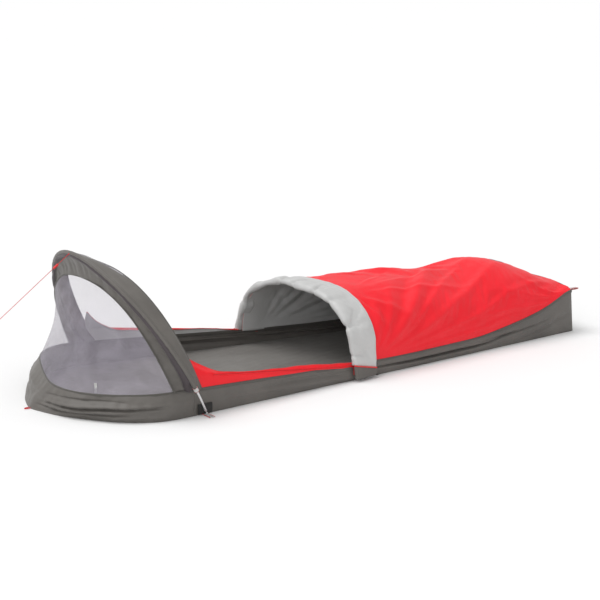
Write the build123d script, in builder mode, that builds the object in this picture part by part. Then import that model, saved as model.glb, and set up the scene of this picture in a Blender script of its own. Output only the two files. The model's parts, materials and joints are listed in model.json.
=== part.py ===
from build123d import *

import math
import os

# A one-person hooped bivy sack, pitched, with its entry flap turned back.
# Millimetres. +Z is up and +X runs from the head to the foot. The origin is on the
# ground, in the middle of the sack's overall length and width.
# "along" is a distance towards the foot, counted from the line through the pole tips.

# Overall sizes
body_length = 2296
nose_length = 459
head_width = 776
foot_width = 438
nose_straight = 40
nose_lean = 45
fold_along = 650

# Cloth stand-in thicknesses and the gaps between neighbouring pieces
floor_thickness = 2
cloth_thickness = 2
mesh_thickness = 1.2
seam_gap = 0.4
moving_gap = 4

# Heights of the bound rim: at the head, at the fold, lowest, at the foot corners
rim_head = 93
rim_fold = 58
rim_low = 52
rim_foot = 180
nose_rim = 108
binding_height = 5
binding_proud = 0.6

# Crest heights of the cover, at the fold and at its highest
crest_fold = 309
crest_high = 312

# Hoop: a bent pole that stands on its two tips and leans towards the nose
hoop_lean = 29
hoop_rise = 583
tip_outset = 16
tip_height = 6.5
tip_ball_radius = 4
tip_neck_radius = 2
pole_radius = 4.25
pole_wall = 0.6
ferrule_length = 50
ferrule_wall = 0.7
fit_gap = 0.1
shock_cord_radius = 1.25
sleeve_gap = 0.8
sleeve_wall = 1.6
sleeve_loop_length = 14
band_width = 66
front_rise_share = 0.905  # the front band's rise, as a share of the hoop's
rear_rise_share = 0.77  # the rear panel's rise, as a share of the hoop's
rear_turn = 4.5  # degrees that the rear panel's back edge leans less than the hoop
band_inset = 5
band_start = 14  # height of the hood's lower edge above the rim
hood_half_share = 1.045  # the hood's half width at the pole, as a share of the pole tips'
arc_share = 0.3  # share of the shorter run that a corner's arc takes
sleeve_start_share = 0.35
guy_stand_off = 3

# Tip tabs: webbing on the ground with an eyelet for the pole tip and one for a peg
tab_width = 22
tab_reach = 58
tab_thickness = 2
eyelet_hole = 3.4
eyelet_flange = 6.5
eyelet_thickness = 2.6
peg_hole = 4
peg_eyelet_flange = 7
peg_inset = 12

# Loops at the nose and at the foot corners
nose_loop_reach = 18
nose_loop_radius = 1.6
nose_loop_width = 15
foot_loop_reach = 28
foot_loop_width = 14
foot_loop_thickness = 1.5
foot_loop_opening = 5

# Zip, slider and pull
zip_start_along = 668
zip_end_along = 36
zip_end_height = 131
zip_tape_width = 10
zip_tape_thickness = 1
coil_width = 3
coil_proud = 1.5
slider_length = 12
slider_width = 8
slider_proud = 5
pull_length = 30
pull_width = 6
pull_thickness = 2

# Entry flap
flap_width = 120
flap_thickness = 4
flap_rise = 12
piping_radius = 1.6
tail_drop = 26
tail_inset = 22

# Guyline, tied to the top of the hoop and pegged ahead of the nose
guyline_radius = 1
guy_run = 690
guy_loop_radius = 11
knot_radius = 3
tensioner_length = 20
tensioner_width = 9
tensioner_thickness = 6
tensioner_at = 52

# Small sewn pieces
patch_size = 58
badge_length = 76
badge_width = 38
badge_along = 1610
pad_loop_width = 9
pad_loop_height = 36
pad_loop_side = 236

foot_along = body_length - nose_length
taper = math.atan2((head_width - foot_width) / 2, foot_along)
middle_along = (foot_along + foot_loop_reach - nose_length - nose_loop_reach) / 2
tip_side = head_width / 2 + tip_outset
covered_length = foot_along - fold_along


def x_at(along):
    return along - middle_along


def half_width(along):
    return head_width / 2 - along * math.tan(taper)


def covered(share):
    """Distance along at a share of the covered length, from the fold to the foot."""
    return fold_along + share * covered_length


# The rim line of a long wall: (along, height)
rim_line = [
    (-nose_straight, rim_head),
    (250, (rim_head + 2 * rim_fold) / 3 + 9),
    (fold_along, rim_fold),
    (covered(0.24), rim_low),
    (covered(0.56), rim_low + 5),
    (covered(0.74), rim_low + 36),
    (covered(0.86), rim_low + 64),
    (covered(0.97), rim_foot - 8),
    (foot_along, rim_foot),
]

# The crest line of the cover: (along, height), at stations of the rim line
crest_line = [
    (fold_along, crest_fold),
    (covered(0.24), crest_high),
    (covered(0.56), crest_high - 20),
    (covered(0.74), crest_high - 33),
    (covered(0.86), crest_high - 58),
    (covered(0.97), rim_foot + 22),
    (foot_along, rim_foot + 5),
]


def height_on(line, along):
    """Height of a line of (along, height) points, straight between its points."""
    for (a0, h0), (a1, h1) in zip(line, line[1:]):
        if a0 <= along <= a1:
            return h0 + (h1 - h0) * (along - a0) / (a1 - a0)
    return line[0][1] if along < line[0][0] else line[-1][1]


def rim_at(along):
    return height_on(rim_line, along)


def corner_radii(points, share):
    """Radius of each corner's arc, which takes that share of the shorter run beside it."""
    radii = []
    for before, corner, after in zip(points, points[1:], points[2:]):
        run_in = Vector(*corner) - Vector(*before)
        run_out = Vector(*after) - Vector(*corner)
        half_turn = math.radians(run_in.get_angle(run_out) / 2)
        radii.append(share * min(run_in.length, run_out.length) / math.tan(half_turn))
    return radii


def save(name, part):
    part.label = name
    export_step(part, f"parts/{name}.step")


def save_pair(name, part):
    """Writes the near piece and its mirror image on the far side."""
    save(f"{name}_near", part)
    save(f"{name}_far", mirror(part, about=Plane.XZ))


os.makedirs("parts", exist_ok=True)

# The near long wall's outer face: local x runs to the foot, local y up, local z outwards.
near_wall = Plane(
    origin=(x_at(0), -head_width / 2, 0),
    x_dir=(math.cos(taper), math.sin(taper), 0),
    z_dir=(math.sin(taper), -math.cos(taper), 0),
)


def on_wall(along, height):
    return (along / math.cos(taper), height)


def wall_piece(outline, inner, outer):
    """A flat piece on the near wall, from `inner` to `outer` millimetres outside its face."""
    with BuildPart() as piece:
        with BuildSketch(near_wall.offset(inner)):
            with BuildLine():
                Polyline(*outline, close=True)
            make_face()
        extrude(amount=outer - inner)
    return piece.part


# --- Tub: floor, long walls, nose wall, foot panel and their bound rim ---

nose_half = half_width(-nose_straight)
nose_depth = nose_length - nose_straight

with BuildPart() as floor_panel:
    with BuildSketch():
        with BuildLine():
            EllipticalCenterArc(
                (x_at(-nose_straight), 0), nose_depth, nose_half, start_angle=90, arc_size=180
            )
            Polyline(
                (x_at(-nose_straight), -nose_half),
                (x_at(foot_along), -foot_width / 2),
                (x_at(foot_along), foot_width / 2),
                (x_at(-nose_straight), nose_half),
            )
        make_face()
    extrude(amount=floor_thickness)
save("floor_panel", floor_panel.part)

wall_start = -nose_straight + cloth_thickness
foot_inside = foot_along - seam_gap
wall_stations = [(a, h) for a, h in rim_line if wall_start < a < foot_inside]
wall_line = [(wall_start, rim_at(wall_start))] + wall_stations + [(foot_inside, rim_at(foot_inside))]

wall_outline = [on_wall(wall_start, floor_thickness)]
wall_outline += [on_wall(a, h - binding_height) for a, h in wall_line]
wall_outline += [on_wall(foot_inside, floor_thickness)]
save_pair("side_wall", wall_piece(wall_outline, -cloth_thickness, 0))

binding_outline = [on_wall(a, h - binding_height) for a, h in wall_line]
binding_outline += [on_wall(a, h) for a, h in reversed(wall_line)]
save_pair("rim_binding", wall_piece(binding_outline, -cloth_thickness, binding_proud))

rim_tilt = math.degrees(math.atan2(nose_rim - rim_head, nose_depth - nose_lean))


def nose_section(depth, half, plane):
    """A half ellipse that bulges towards the nose, closed by a straight line across the sack."""
    with BuildSketch(plane) as section:
        with BuildLine():
            EllipticalCenterArc((0, 0), depth, half, start_angle=90, arc_size=180)
            Line((0, -half), (0, half))
        make_face()
    return section.sketch


nose_origin = (x_at(-nose_straight), 0)
nose_foot_plane = Plane(origin=(*nose_origin, floor_thickness))
nose_top_plane = Plane(origin=(*nose_origin, rim_head - binding_height)).rotated((0, rim_tilt, 0))
rim_depth = (nose_depth - nose_lean) / math.cos(math.radians(rim_tilt))

with BuildPart() as nose_wall:
    for shrink, mode in ((0, Mode.ADD), (cloth_thickness, Mode.SUBTRACT)):
        loft(
            sections=[
                nose_section(nose_depth - shrink, nose_half - shrink, nose_foot_plane),
                nose_section(rim_depth - shrink, nose_half - shrink, nose_top_plane),
            ],
            ruled=True,
            mode=mode,
        )
save("nose_wall", nose_wall.part)

with BuildPart() as nose_binding:
    with BuildSketch(nose_top_plane):
        with BuildLine():
            EllipticalCenterArc(
                (0, 0), rim_depth + binding_proud, nose_half + binding_proud,
                start_angle=90, arc_size=180,
            )
            Line((0, -nose_half - binding_proud), (0, nose_half + binding_proud))
        make_face()
        with BuildLine():
            EllipticalCenterArc(
                (0, 0), rim_depth - cloth_thickness, nose_half - cloth_thickness,
                start_angle=90, arc_size=180,
            )
            Line((0, cloth_thickness - nose_half), (0, nose_half - cloth_thickness))
        make_face(mode=Mode.SUBTRACT)
    extrude(amount=binding_height)
save("rim_binding_nose", nose_binding.part)

foot_plane = Plane(origin=(x_at(foot_along), 0, 0), x_dir=(0, 1, 0), z_dir=(1, 0, 0))
foot_inner_half = foot_width / 2 - cloth_thickness - seam_gap
with BuildPart() as foot_end_panel:
    with BuildSketch(foot_plane):
        with BuildLine():
            Polyline(
                (-foot_inner_half, floor_thickness),
                (foot_inner_half, floor_thickness),
                (foot_inner_half, rim_foot),
                (-foot_inner_half, rim_foot),
                close=True,
            )
        make_face()
    extrude(amount=-cloth_thickness)
save("foot_end_panel", foot_end_panel.part)

# --- Cover: a domed shell from the fold to the foot, standing on the rim ---


def dome_section(along, half, base, crest):
    """A half ellipse across the sack, from a straight base up to its crest."""
    plane = Plane(origin=(x_at(along), 0, base), x_dir=(0, 1, 0), z_dir=(1, 0, 0))
    with BuildSketch(plane) as section:
        with BuildLine():
            EllipticalCenterArc((0, 0), half, crest - base, start_angle=0, arc_size=180)
            Line((-half, 0), (half, 0))
        make_face()
    return section.sketch


with BuildPart() as cover:
    for shrink, mode in ((0, Mode.ADD), (cloth_thickness, Mode.SUBTRACT)):
        loft(
            sections=[
                dome_section(a, half_width(a) - shrink, rim_at(a) + seam_gap, crest - shrink)
                for a, crest in crest_line
            ],
            ruled=True,
            mode=mode,
        )
save("cover", cover.part)

badge_height = height_on(crest_line, badge_along)
badge_next = height_on(crest_line, badge_along + badge_length / 2)
badge_slope = math.degrees(math.atan2(badge_height - badge_next, badge_length / 2))
badge_plane = Plane(origin=(x_at(badge_along), 0, badge_height + 1)).rotated((0, badge_slope, 0))
with BuildPart() as cover_badge:
    with BuildSketch(badge_plane):
        Ellipse(badge_length / 2, badge_width / 2)
    extrude(amount=cloth_thickness)
save("cover_badge", cover_badge.part)

# --- Side strips, zip tapes and coils beside the opening ---

zip_start_height = rim_at(zip_start_along) - binding_height - 2


def zip_height(along):
    share = (zip_start_along - along) / (zip_start_along - zip_end_along)
    return zip_start_height + share * (zip_end_height - zip_start_height)


strip_end = fold_along - seam_gap
strip_outline = [on_wall(a, rim_at(a) + seam_gap) for a in (0, 250, strip_end)]
strip_outline += [
    on_wall(strip_end, rim_at(strip_end) + 2),
    on_wall(zip_end_along + 20, zip_height(zip_end_along + 20) + 4),
    on_wall(0, zip_end_height + 34),
]
save_pair("side_strip", wall_piece(strip_outline, -cloth_thickness, 0))


def along_zip(half_height):
    return [
        on_wall(zip_start_along, zip_height(zip_start_along) - half_height),
        on_wall(zip_end_along, zip_height(zip_end_along) - half_height),
        on_wall(zip_end_along, zip_height(zip_end_along) + half_height),
        on_wall(zip_start_along, zip_height(zip_start_along) + half_height),
    ]


tape_inner = binding_proud + seam_gap
tape_outer = tape_inner + zip_tape_thickness
coil_outer = tape_outer + coil_proud
save_pair("zip_tape", wall_piece(along_zip(zip_tape_width / 2), tape_inner, tape_outer))
save_pair("zip_coil", wall_piece(along_zip(coil_width / 2), tape_outer, coil_outer))

# Slider: a block with a channel that runs over the coil, at the foot end of its travel
zip_slope = math.atan2(zip_end_height - zip_start_height, zip_start_along - zip_end_along)
slider_along = zip_start_along - slider_length
slider_plane = Plane(
    origin=near_wall.from_local_coords((*on_wall(slider_along, zip_height(slider_along)), tape_outer)),
    x_dir=near_wall.x_dir * math.cos(zip_slope) - near_wall.y_dir * math.sin(zip_slope),
    z_dir=near_wall.z_dir,
)
channel_depth = coil_proud + fit_gap + seam_gap
with BuildPart() as zip_slider:
    with BuildSketch(slider_plane.offset(fit_gap)):
        SlotOverall(slider_length, slider_width)
    extrude(amount=slider_proud)
    with BuildSketch(slider_plane.offset(fit_gap)):
        Rectangle(2 * slider_length, coil_width + 2 * seam_gap)
    extrude(amount=channel_depth, mode=Mode.SUBTRACT)
    with BuildSketch(slider_plane.offset(fit_gap + slider_proud)):
        Rectangle(slider_length * 0.5, slider_width * 0.35)
    extrude(amount=2)
save_pair("zip_slider", zip_slider.part)

pull_hinge = slider_proud + fit_gap + 2 + seam_gap + pull_thickness / 2
pull_plane = Plane(
    origin=slider_plane.from_local_coords((0, 0, pull_hinge)),
    x_dir=near_wall.x_dir,
    z_dir=near_wall.z_dir,
)
with BuildPart() as zip_pull:
    with BuildSketch(pull_plane.offset(-pull_thickness / 2)):
        with Locations((0, -pull_length / 2)):
            SlotOverall(pull_length, pull_width, rotation=90)
    extrude(amount=pull_thickness)
save_pair("zip_pull", zip_pull.part)

# --- Entry flap: the cover's end turned back over itself, on its own body ---

flap_end = fold_along + flap_width
flap_base = rim_fold + flap_rise


def flap_section(along, extra):
    return dome_section(
        along, half_width(along) + moving_gap + extra, flap_base,
        height_on(crest_line, along) + moving_gap + extra,
    )


with BuildPart() as entry_flap:
    for extra, mode in ((flap_thickness, Mode.ADD), (0, Mode.SUBTRACT)):
        loft(
            sections=[flap_section(a, extra) for a in (fold_along, flap_end)],
            ruled=True,
            mode=mode,
        )
save("entry_flap", entry_flap.part)

tail_start = fold_along + tail_inset
tail_top = flap_base - 2 * piping_radius - seam_gap
tail_outline = [
    on_wall(tail_start, tail_top),
    on_wall(flap_end, tail_top),
    on_wall(flap_end, tail_top - tail_drop),
    on_wall(tail_start + 6, tail_top - tail_drop),
]
tail_inner = moving_gap
save_pair("flap_tail", wall_piece(tail_outline, tail_inner, tail_inner + cloth_thickness))

piping_outline = [
    on_wall(fold_along + 2, flap_base - 2 * piping_radius),
    on_wall(flap_end, flap_base - 2 * piping_radius),
    on_wall(flap_end, flap_base - seam_gap),
    on_wall(fold_along + 2, flap_base - seam_gap),
]
save_pair("flap_piping", wall_piece(piping_outline, moving_gap, moving_gap + 2 * piping_radius))

stop_outline = [
    on_wall(flap_end - 12, tail_top - tail_drop + 1),
    on_wall(flap_end - 2, tail_top - tail_drop + 1),
    on_wall(flap_end - 2, tail_top - tail_drop + 8),
    on_wall(flap_end - 12, tail_top - tail_drop + 8),
]
stop_inner = tail_inner + cloth_thickness
save_pair("zip_stop", wall_piece(stop_outline, stop_inner, stop_inner + 3))

# --- Hoop: pole sections on a shock cord, with ferrules and ball tips ---

# Hoop plane: local x runs across the sack, local y up the hoop, local z towards the foot.
lean = math.radians(hoop_lean)
hoop_plane = Plane(
    origin=(x_at(0), 0, tip_height),
    x_dir=(0, 1, 0),
    z_dir=(math.cos(lean), 0, math.sin(lean)),
)

# Half of the hoop's outline, as shares of its half width and of its rise
hoop_shape = [(1, 0), (1.06, 0.155), (1.05, 0.345), (0.935, 0.595), (0.705, 0.79), (0.41, 0.935), (0.14, 1)]
half_points = [(-tip_side * u, hoop_rise * v, 0) for u, v in hoop_shape]
pole_points = half_points + [(-u, v, 0) for u, v, _ in reversed(half_points)]
pole_radii = corner_radii(pole_points, arc_share)


def between(p, q, share):
    return tuple(a + (b - a) * share for a, b in zip(p, q))


tip_top = between(pole_points[0], pole_points[1], 0.2)
side_joint = between(pole_points[2], pole_points[3], 0.5)
crest_joint = between(pole_points[6], pole_points[7], 0.5)
sleeve_start = between(pole_points[1], pole_points[2], sleeve_start_share)


def tube_along(points, radii, outer, inner):
    """A round tube, or a rod if inner is 0, along straight runs joined by arcs."""
    with BuildPart() as tube:
        with BuildLine(hoop_plane) as path:
            FilletPolyline(*points, radius=radii)
        with BuildSketch(Plane(origin=path.line @ 0, z_dir=path.line % 0)):
            Circle(outer)
            if inner:
                Circle(inner, mode=Mode.SUBTRACT)
        sweep(path=path.line)
    return tube.part


pole_inner = pole_radius - pole_wall
lower_points = [tip_top, pole_points[1], pole_points[2], side_joint]
upper_points = [side_joint, *pole_points[3:7], crest_joint]
save_pair("pole_lower", tube_along(lower_points, pole_radii[0:2], pole_radius, pole_inner))
save_pair("pole_upper", tube_along(upper_points, pole_radii[2:6], pole_radius, pole_inner))


def ferrule(centre, neighbour):
    """A straight insert that joins two pole sections from inside."""
    share = ferrule_length / 2 / (Vector(*neighbour) - Vector(*centre)).length
    with BuildPart() as tube:
        with BuildLine(hoop_plane) as path:
            Line(between(centre, neighbour, -share), between(centre, neighbour, share))
        with BuildSketch(Plane(origin=path.line @ 0, z_dir=path.line % 0)):
            Circle(pole_inner - fit_gap)
            Circle(pole_inner - fit_gap - ferrule_wall, mode=Mode.SUBTRACT)
        sweep(path=path.line)
    return tube.part


save_pair("ferrule_side", ferrule(side_joint, pole_points[3]))
save("ferrule_crest", ferrule(crest_joint, pole_points[7]))

cord_low = between(pole_points[0], pole_points[1], 0.32)
cord_points = [cord_low, *pole_points[1:-1], (-cord_low[0], cord_low[1], 0)]
save("shock_cord", tube_along(cord_points, pole_radii, shock_cord_radius, 0))

with BuildPart() as pole_tip:
    with BuildLine(hoop_plane) as tip_line:
        Line(pole_points[0], tip_top)
    tip_plane = Plane(origin=tip_line.line @ 0, z_dir=tip_line.line % 1)
    tip_reach = tip_line.wire().length
    with Locations(tip_plane):
        Sphere(tip_ball_radius)
    with BuildSketch(tip_plane):
        Circle(tip_neck_radius)
    extrude(amount=tip_reach - 6)
    with BuildSketch(tip_plane.offset(tip_reach - 6)):
        Circle(pole_radius)
    extrude(amount=6 - seam_gap)
    with BuildSketch(tip_plane.offset(tip_reach - seam_gap)):
        Circle(pole_inner - fit_gap)
    extrude(amount=9)
save_pair("pole_tip", pole_tip.part)

sleeve_inner = pole_radius + sleeve_gap
sleeve_outer = sleeve_inner + sleeve_wall
sleeve_points = [sleeve_start, *pole_points[2:-2], (-sleeve_start[0], sleeve_start[1], 0)]
save("pole_sleeve", tube_along(sleeve_points, pole_radii[1:-1], sleeve_outer, sleeve_inner))

loop_end = between(sleeve_start, pole_points[1], sleeve_loop_length / 40)
with BuildPart() as sleeve_loop:
    with BuildLine(hoop_plane) as loop_line:
        Line(between(sleeve_start, pole_points[1], 0.02), loop_end)
    with BuildSketch(Plane(origin=loop_line.line @ 0, z_dir=loop_line.line % 0)):
        Circle(sleeve_outer)
        Circle(sleeve_inner, mode=Mode.SUBTRACT)
    sweep(path=loop_line.line)
save_pair("sleeve_loop", sleeve_loop.part)

# --- Hood: cloth bands ahead of and behind the sleeve, and the mesh window ---


def arch_section(plane, half, rise, low, thickness):
    """A thin half ellipse standing on two straight legs, as the end of a lofted cloth band."""
    with BuildSketch(plane) as section:
        with BuildLine():
            EllipticalCenterArc((0, low), half, rise - low, start_angle=0, arc_size=180)
            Line((-half, low), (thickness - half, low))
            EllipticalCenterArc(
                (0, low), half - thickness, rise - low - thickness, start_angle=0, arc_size=180
            )
            Line((half - thickness, low), (half, low))
        make_face()
    return section.sketch


def band(front, back):
    """Cloth between two arches, each given as plane, half width, rise, foot height, thickness."""
    with BuildPart() as cloth:
        loft(sections=[arch_section(*front), arch_section(*back)], ruled=True)
    return cloth.part


band_low = (rim_head + band_start - tip_height) / math.cos(lean)
hood_half = tip_side * hood_half_share
front_plane = hoop_plane.offset(-band_width)
front_low = band_low + band_width * math.tan(lean)
front_arch = (front_plane, nose_half - band_inset, hoop_rise * front_rise_share, front_low, cloth_thickness)
sleeve_front = (
    hoop_plane.offset(-sleeve_outer - seam_gap), hood_half, hoop_rise + 4, band_low + 6, cloth_thickness
)
save("hood_front_band", band(sleeve_front, front_arch))

rear_lean = lean - math.radians(rear_turn)
rear_plane = Plane(
    origin=(x_at(-2), 0, rim_head + 6),
    x_dir=(0, 1, 0),
    z_dir=(math.cos(rear_lean), 0, math.sin(rear_lean)),
)
sleeve_rear = (
    hoop_plane.offset(sleeve_outer + seam_gap), hood_half, hoop_rise + 2, band_low + 6, cloth_thickness
)
rear_arch = (rear_plane, tip_side - 4, hoop_rise * rear_rise_share, 8, cloth_thickness)
save("hood_rear_panel", band(sleeve_rear, rear_arch))

mesh_arch = (
    front_plane.offset(-seam_gap),
    nose_half - band_inset,
    hoop_rise * front_rise_share,
    front_low,
    mesh_thickness,
)
mesh_rim_plane = nose_top_plane.offset(binding_height + seam_gap)
mesh_rim_angle = 100


def mesh_rim_section(depth, half):
    """The mesh's lower edge: a thin ring along the nose rim, open towards the foot."""
    spread = 360 - 2 * mesh_rim_angle
    with BuildSketch(mesh_rim_plane) as section:
        with BuildLine():
            outer = EllipticalCenterArc(
                (0, 0), depth, half, start_angle=mesh_rim_angle, arc_size=spread
            )
            inner = EllipticalCenterArc(
                (0, 0), depth - mesh_thickness, half - mesh_thickness,
                start_angle=mesh_rim_angle, arc_size=spread,
            )
            Line(outer @ 0, inner @ 0)
            Line(outer @ 1, inner @ 1)
        make_face()
    return section.sketch


with BuildPart() as mesh_window:
    loft(sections=[arch_section(*mesh_arch), mesh_rim_section(rim_depth, nose_half)], ruled=True)
save("mesh_window", mesh_window.part)

# --- Guyline: knot on the hoop, taut line, tensioner and tied peg loop ---

crest_point = hoop_plane.from_local_coords((0, hoop_rise, 0))
knot_centre = Vector(crest_point.X - sleeve_outer - knot_radius - guy_stand_off, 0, crest_point.Z)
line_end = Vector(knot_centre.X - guy_run, 0, knot_radius)
guy_direction = (line_end - knot_centre).normalized()
guy_plane = Plane(origin=knot_centre, x_dir=(0, 1, 0), z_dir=guy_direction)

with BuildPart() as guy_knot:
    with Locations(guy_plane):
        Sphere(knot_radius)
save("guy_knot", guy_knot.part)

guy_length = (line_end - knot_centre).length - 2 * knot_radius
with BuildPart() as guyline:
    with BuildSketch(guy_plane.offset(knot_radius)):
        Circle(guyline_radius)
    extrude(amount=guy_length)
save("guyline", guyline.part)

with BuildPart() as guy_peg_loop:
    with Locations(line_end):
        Sphere(knot_radius)
    with Locations((line_end.X - guy_loop_radius - knot_radius + 1, 0, guyline_radius)):
        Torus(guy_loop_radius, guyline_radius)
save("guy_peg_loop", guy_peg_loop.part)

with BuildPart() as tensioner:
    with BuildSketch(guy_plane.offset(tensioner_at)):
        RectangleRounded(tensioner_width, tensioner_thickness, 2)
        Circle(guyline_radius + 3 * fit_gap, mode=Mode.SUBTRACT)
    extrude(amount=tensioner_length)
save("line_tensioner", tensioner.part)
print("guyline length", guy_length + 2 * knot_radius)

# --- Ground fittings: tip tabs with eyelets, base patches, nose and foot loops, pad loop ---

tab_inner_side = half_width(-tab_width / 2) + seam_gap
tab_outer_side = tip_side + tab_reach - 20
peg_side = tab_outer_side - peg_inset
eyelets = (
    (tip_side, eyelet_hole, eyelet_flange, "tip_eyelet"),
    (peg_side, peg_hole, peg_eyelet_flange, "peg_eyelet"),
)
with BuildPart() as tip_tab:
    with BuildSketch():
        with Locations((x_at(0), -(tab_inner_side + tab_outer_side) / 2)):
            Rectangle(tab_width, tab_outer_side - tab_inner_side)
        for side, hole, flange, _ in eyelets:
            with Locations((x_at(0), -side)):
                Circle(flange + fit_gap, mode=Mode.SUBTRACT)
    extrude(amount=tab_thickness)
save_pair("tip_tab", tip_tab.part)

for side, hole, flange, name in eyelets:
    with BuildPart() as eyelet:
        with BuildSketch():
            with Locations((x_at(0), -side)):
                Circle(flange)
                Circle(hole, mode=Mode.SUBTRACT)
        extrude(amount=eyelet_thickness if name == "peg_eyelet" else tab_thickness)
    save_pair(name, eyelet.part)

patch_outline = [
    on_wall(-patch_size / 2, floor_thickness + 1),
    on_wall(patch_size / 2, floor_thickness + 1),
    on_wall(patch_size / 2, floor_thickness + 1 + patch_size * 0.6),
    on_wall(-patch_size / 2, floor_thickness + 1 + patch_size * 0.6),
]
save_pair("base_patch", wall_piece(patch_outline, seam_gap, seam_gap + 1.2))

nose_x = x_at(-nose_length)
loop_half = nose_loop_width / 2 - nose_loop_radius
loop_bend = nose_x - nose_loop_reach + nose_loop_radius + loop_half
with BuildPart() as nose_loop:
    with BuildLine(Plane.XY.offset(nose_loop_radius)) as loop_path:
        Line((nose_x - 1, -loop_half), (loop_bend, -loop_half))
        CenterArc((loop_bend, 0), loop_half, 270, -180)
        Line((loop_bend, loop_half), (nose_x - 1, loop_half))
    with BuildSketch(Plane(origin=loop_path.line @ 0, z_dir=loop_path.line % 0)):
        Circle(nose_loop_radius)
    sweep(path=loop_path.line)
save("nose_loop", nose_loop.part)

loop_top = rim_foot - 3
foot_loop_side = foot_width / 2 - foot_loop_width / 2 - 2
foot_loop_plane = Plane(
    origin=(x_at(foot_along) + 1, -foot_loop_side, loop_top), x_dir=(1, 0, 0), z_dir=(0, -1, 0)
)
foot_loop_half = foot_loop_opening / 2 + foot_loop_thickness
with BuildPart() as foot_loop:
    with BuildSketch(foot_loop_plane.offset(-foot_loop_width / 2)):
        with Locations((foot_loop_reach / 2 - 0.5, -foot_loop_half)):
            SlotOverall(foot_loop_reach - 1, 2 * foot_loop_half)
            SlotOverall(foot_loop_reach - 1 - 2 * foot_loop_thickness, foot_loop_opening, mode=Mode.SUBTRACT)
    extrude(amount=foot_loop_width)
save_pair("foot_loop", foot_loop.part)

pad_loop_depth = math.sqrt(1 - (pad_loop_side / nose_half) ** 2)
with BuildPart() as pad_loop:
    pad_x = x_at(-nose_straight) - (rim_depth - 14) * pad_loop_depth
    pad_turn = math.degrees(math.atan2(pad_loop_side / nose_half ** 2, pad_loop_depth / rim_depth))
    with Locations(Location((pad_x, -pad_loop_side, rim_head + pad_loop_height / 2 - 6), (0, 0, pad_turn))):
        Box(cloth_thickness, pad_loop_width, pad_loop_height)
save("pad_loop", pad_loop.part)

# The joint places that the record repeats, in metres
slide = tuple(slider_plane.x_dir * -1)
print("hoop axis", [x_at(0) / 1000, 0, tip_height / 1000])
print("flap axis", [x_at(fold_along) / 1000, 0, flap_base / 1000])
print("zip direction", [round(v, 6) for v in slide])
print("pull hinge", [round(v / 1000, 6) for v in tuple(pull_plane.origin)], near_wall.x_dir)
print("guy direction", guy_direction, "knot", knot_centre, "end", line_end)
print("nose loop hinge", nose_x / 1000, "foot loop hinge", (x_at(foot_along) + 1) / 1000, loop_top)
print("peg eyelet", x_at(0) / 1000, peg_side / 1000)
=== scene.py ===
# %% [markdown]
# # A hooped bivy sack
# The sack is thin cloth held in shape by one bent pole and by what is sewn to its tub.
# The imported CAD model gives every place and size, so it is loaded first and measured.
# Each cloth panel is then a grid whose points are moved to the panel's real curve, because
# a grid keeps clean rows along the seams, and folds are easy to press into it.

# %% Load the frame
import json
import math

import bmesh
import bpy
import numpy as np
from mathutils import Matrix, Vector
from mathutils.bvhtree import BVHTree


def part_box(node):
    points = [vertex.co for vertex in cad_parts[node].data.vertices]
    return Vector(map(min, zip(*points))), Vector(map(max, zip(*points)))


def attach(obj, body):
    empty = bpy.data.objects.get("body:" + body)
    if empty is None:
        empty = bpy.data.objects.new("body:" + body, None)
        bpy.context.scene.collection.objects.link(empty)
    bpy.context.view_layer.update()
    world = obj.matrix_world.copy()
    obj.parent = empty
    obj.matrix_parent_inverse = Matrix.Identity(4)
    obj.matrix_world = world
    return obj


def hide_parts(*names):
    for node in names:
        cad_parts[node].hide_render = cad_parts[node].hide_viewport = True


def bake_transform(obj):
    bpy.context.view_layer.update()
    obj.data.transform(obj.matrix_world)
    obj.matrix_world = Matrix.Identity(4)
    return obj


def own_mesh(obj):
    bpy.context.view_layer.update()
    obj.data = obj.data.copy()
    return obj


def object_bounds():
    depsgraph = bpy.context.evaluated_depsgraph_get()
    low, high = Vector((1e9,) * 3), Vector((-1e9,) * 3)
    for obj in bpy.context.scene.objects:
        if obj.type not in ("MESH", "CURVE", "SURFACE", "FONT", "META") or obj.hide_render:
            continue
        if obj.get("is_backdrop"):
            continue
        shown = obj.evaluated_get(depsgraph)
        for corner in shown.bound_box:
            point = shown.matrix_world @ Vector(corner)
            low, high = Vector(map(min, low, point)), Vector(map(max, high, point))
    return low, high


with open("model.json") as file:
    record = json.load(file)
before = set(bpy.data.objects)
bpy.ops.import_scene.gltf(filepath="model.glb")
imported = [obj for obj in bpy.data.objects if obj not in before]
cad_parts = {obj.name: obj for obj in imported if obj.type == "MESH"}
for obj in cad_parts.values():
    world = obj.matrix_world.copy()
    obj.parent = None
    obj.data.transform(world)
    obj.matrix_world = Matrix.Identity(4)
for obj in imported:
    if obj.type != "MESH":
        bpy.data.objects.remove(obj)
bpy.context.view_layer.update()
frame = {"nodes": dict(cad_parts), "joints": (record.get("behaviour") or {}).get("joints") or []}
joints = {j["name"]: j for j in frame["joints"]}

# %% [markdown]
# ## Camera
# A long lens from six metres keeps the sack's two long sides nearly parallel.

# %% Camera
view_azimuth, view_elevation = math.radians(-33.9), math.radians(12.8)
view_distance = 6.0
view_target = Vector((-0.046, 0, 0.237))
camera_back = Vector((
    math.sin(view_azimuth) * math.cos(view_elevation),
    -math.cos(view_azimuth) * math.cos(view_elevation),
    math.sin(view_elevation),
))
camera = bpy.data.objects.new("camera", bpy.data.cameras.new("camera"))
bpy.context.scene.collection.objects.link(camera)
camera.data.lens = 96.1
camera.data.sensor_width = 36
camera.location = view_target + camera_back * view_distance
camera.rotation_euler = (-camera_back).to_track_quat("-Z", "Y").to_euler()
bpy.context.scene.camera = camera
print("camera at", [round(x, 2) for x in camera.location])

# %% [markdown]
# ## Lines through space
# A pole, a cord and the edges of a cloth are all smooth lines. A NURBS curve gives them from
# a few points, and its evaluated mesh gives the points along it.

# %% Lines


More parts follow.
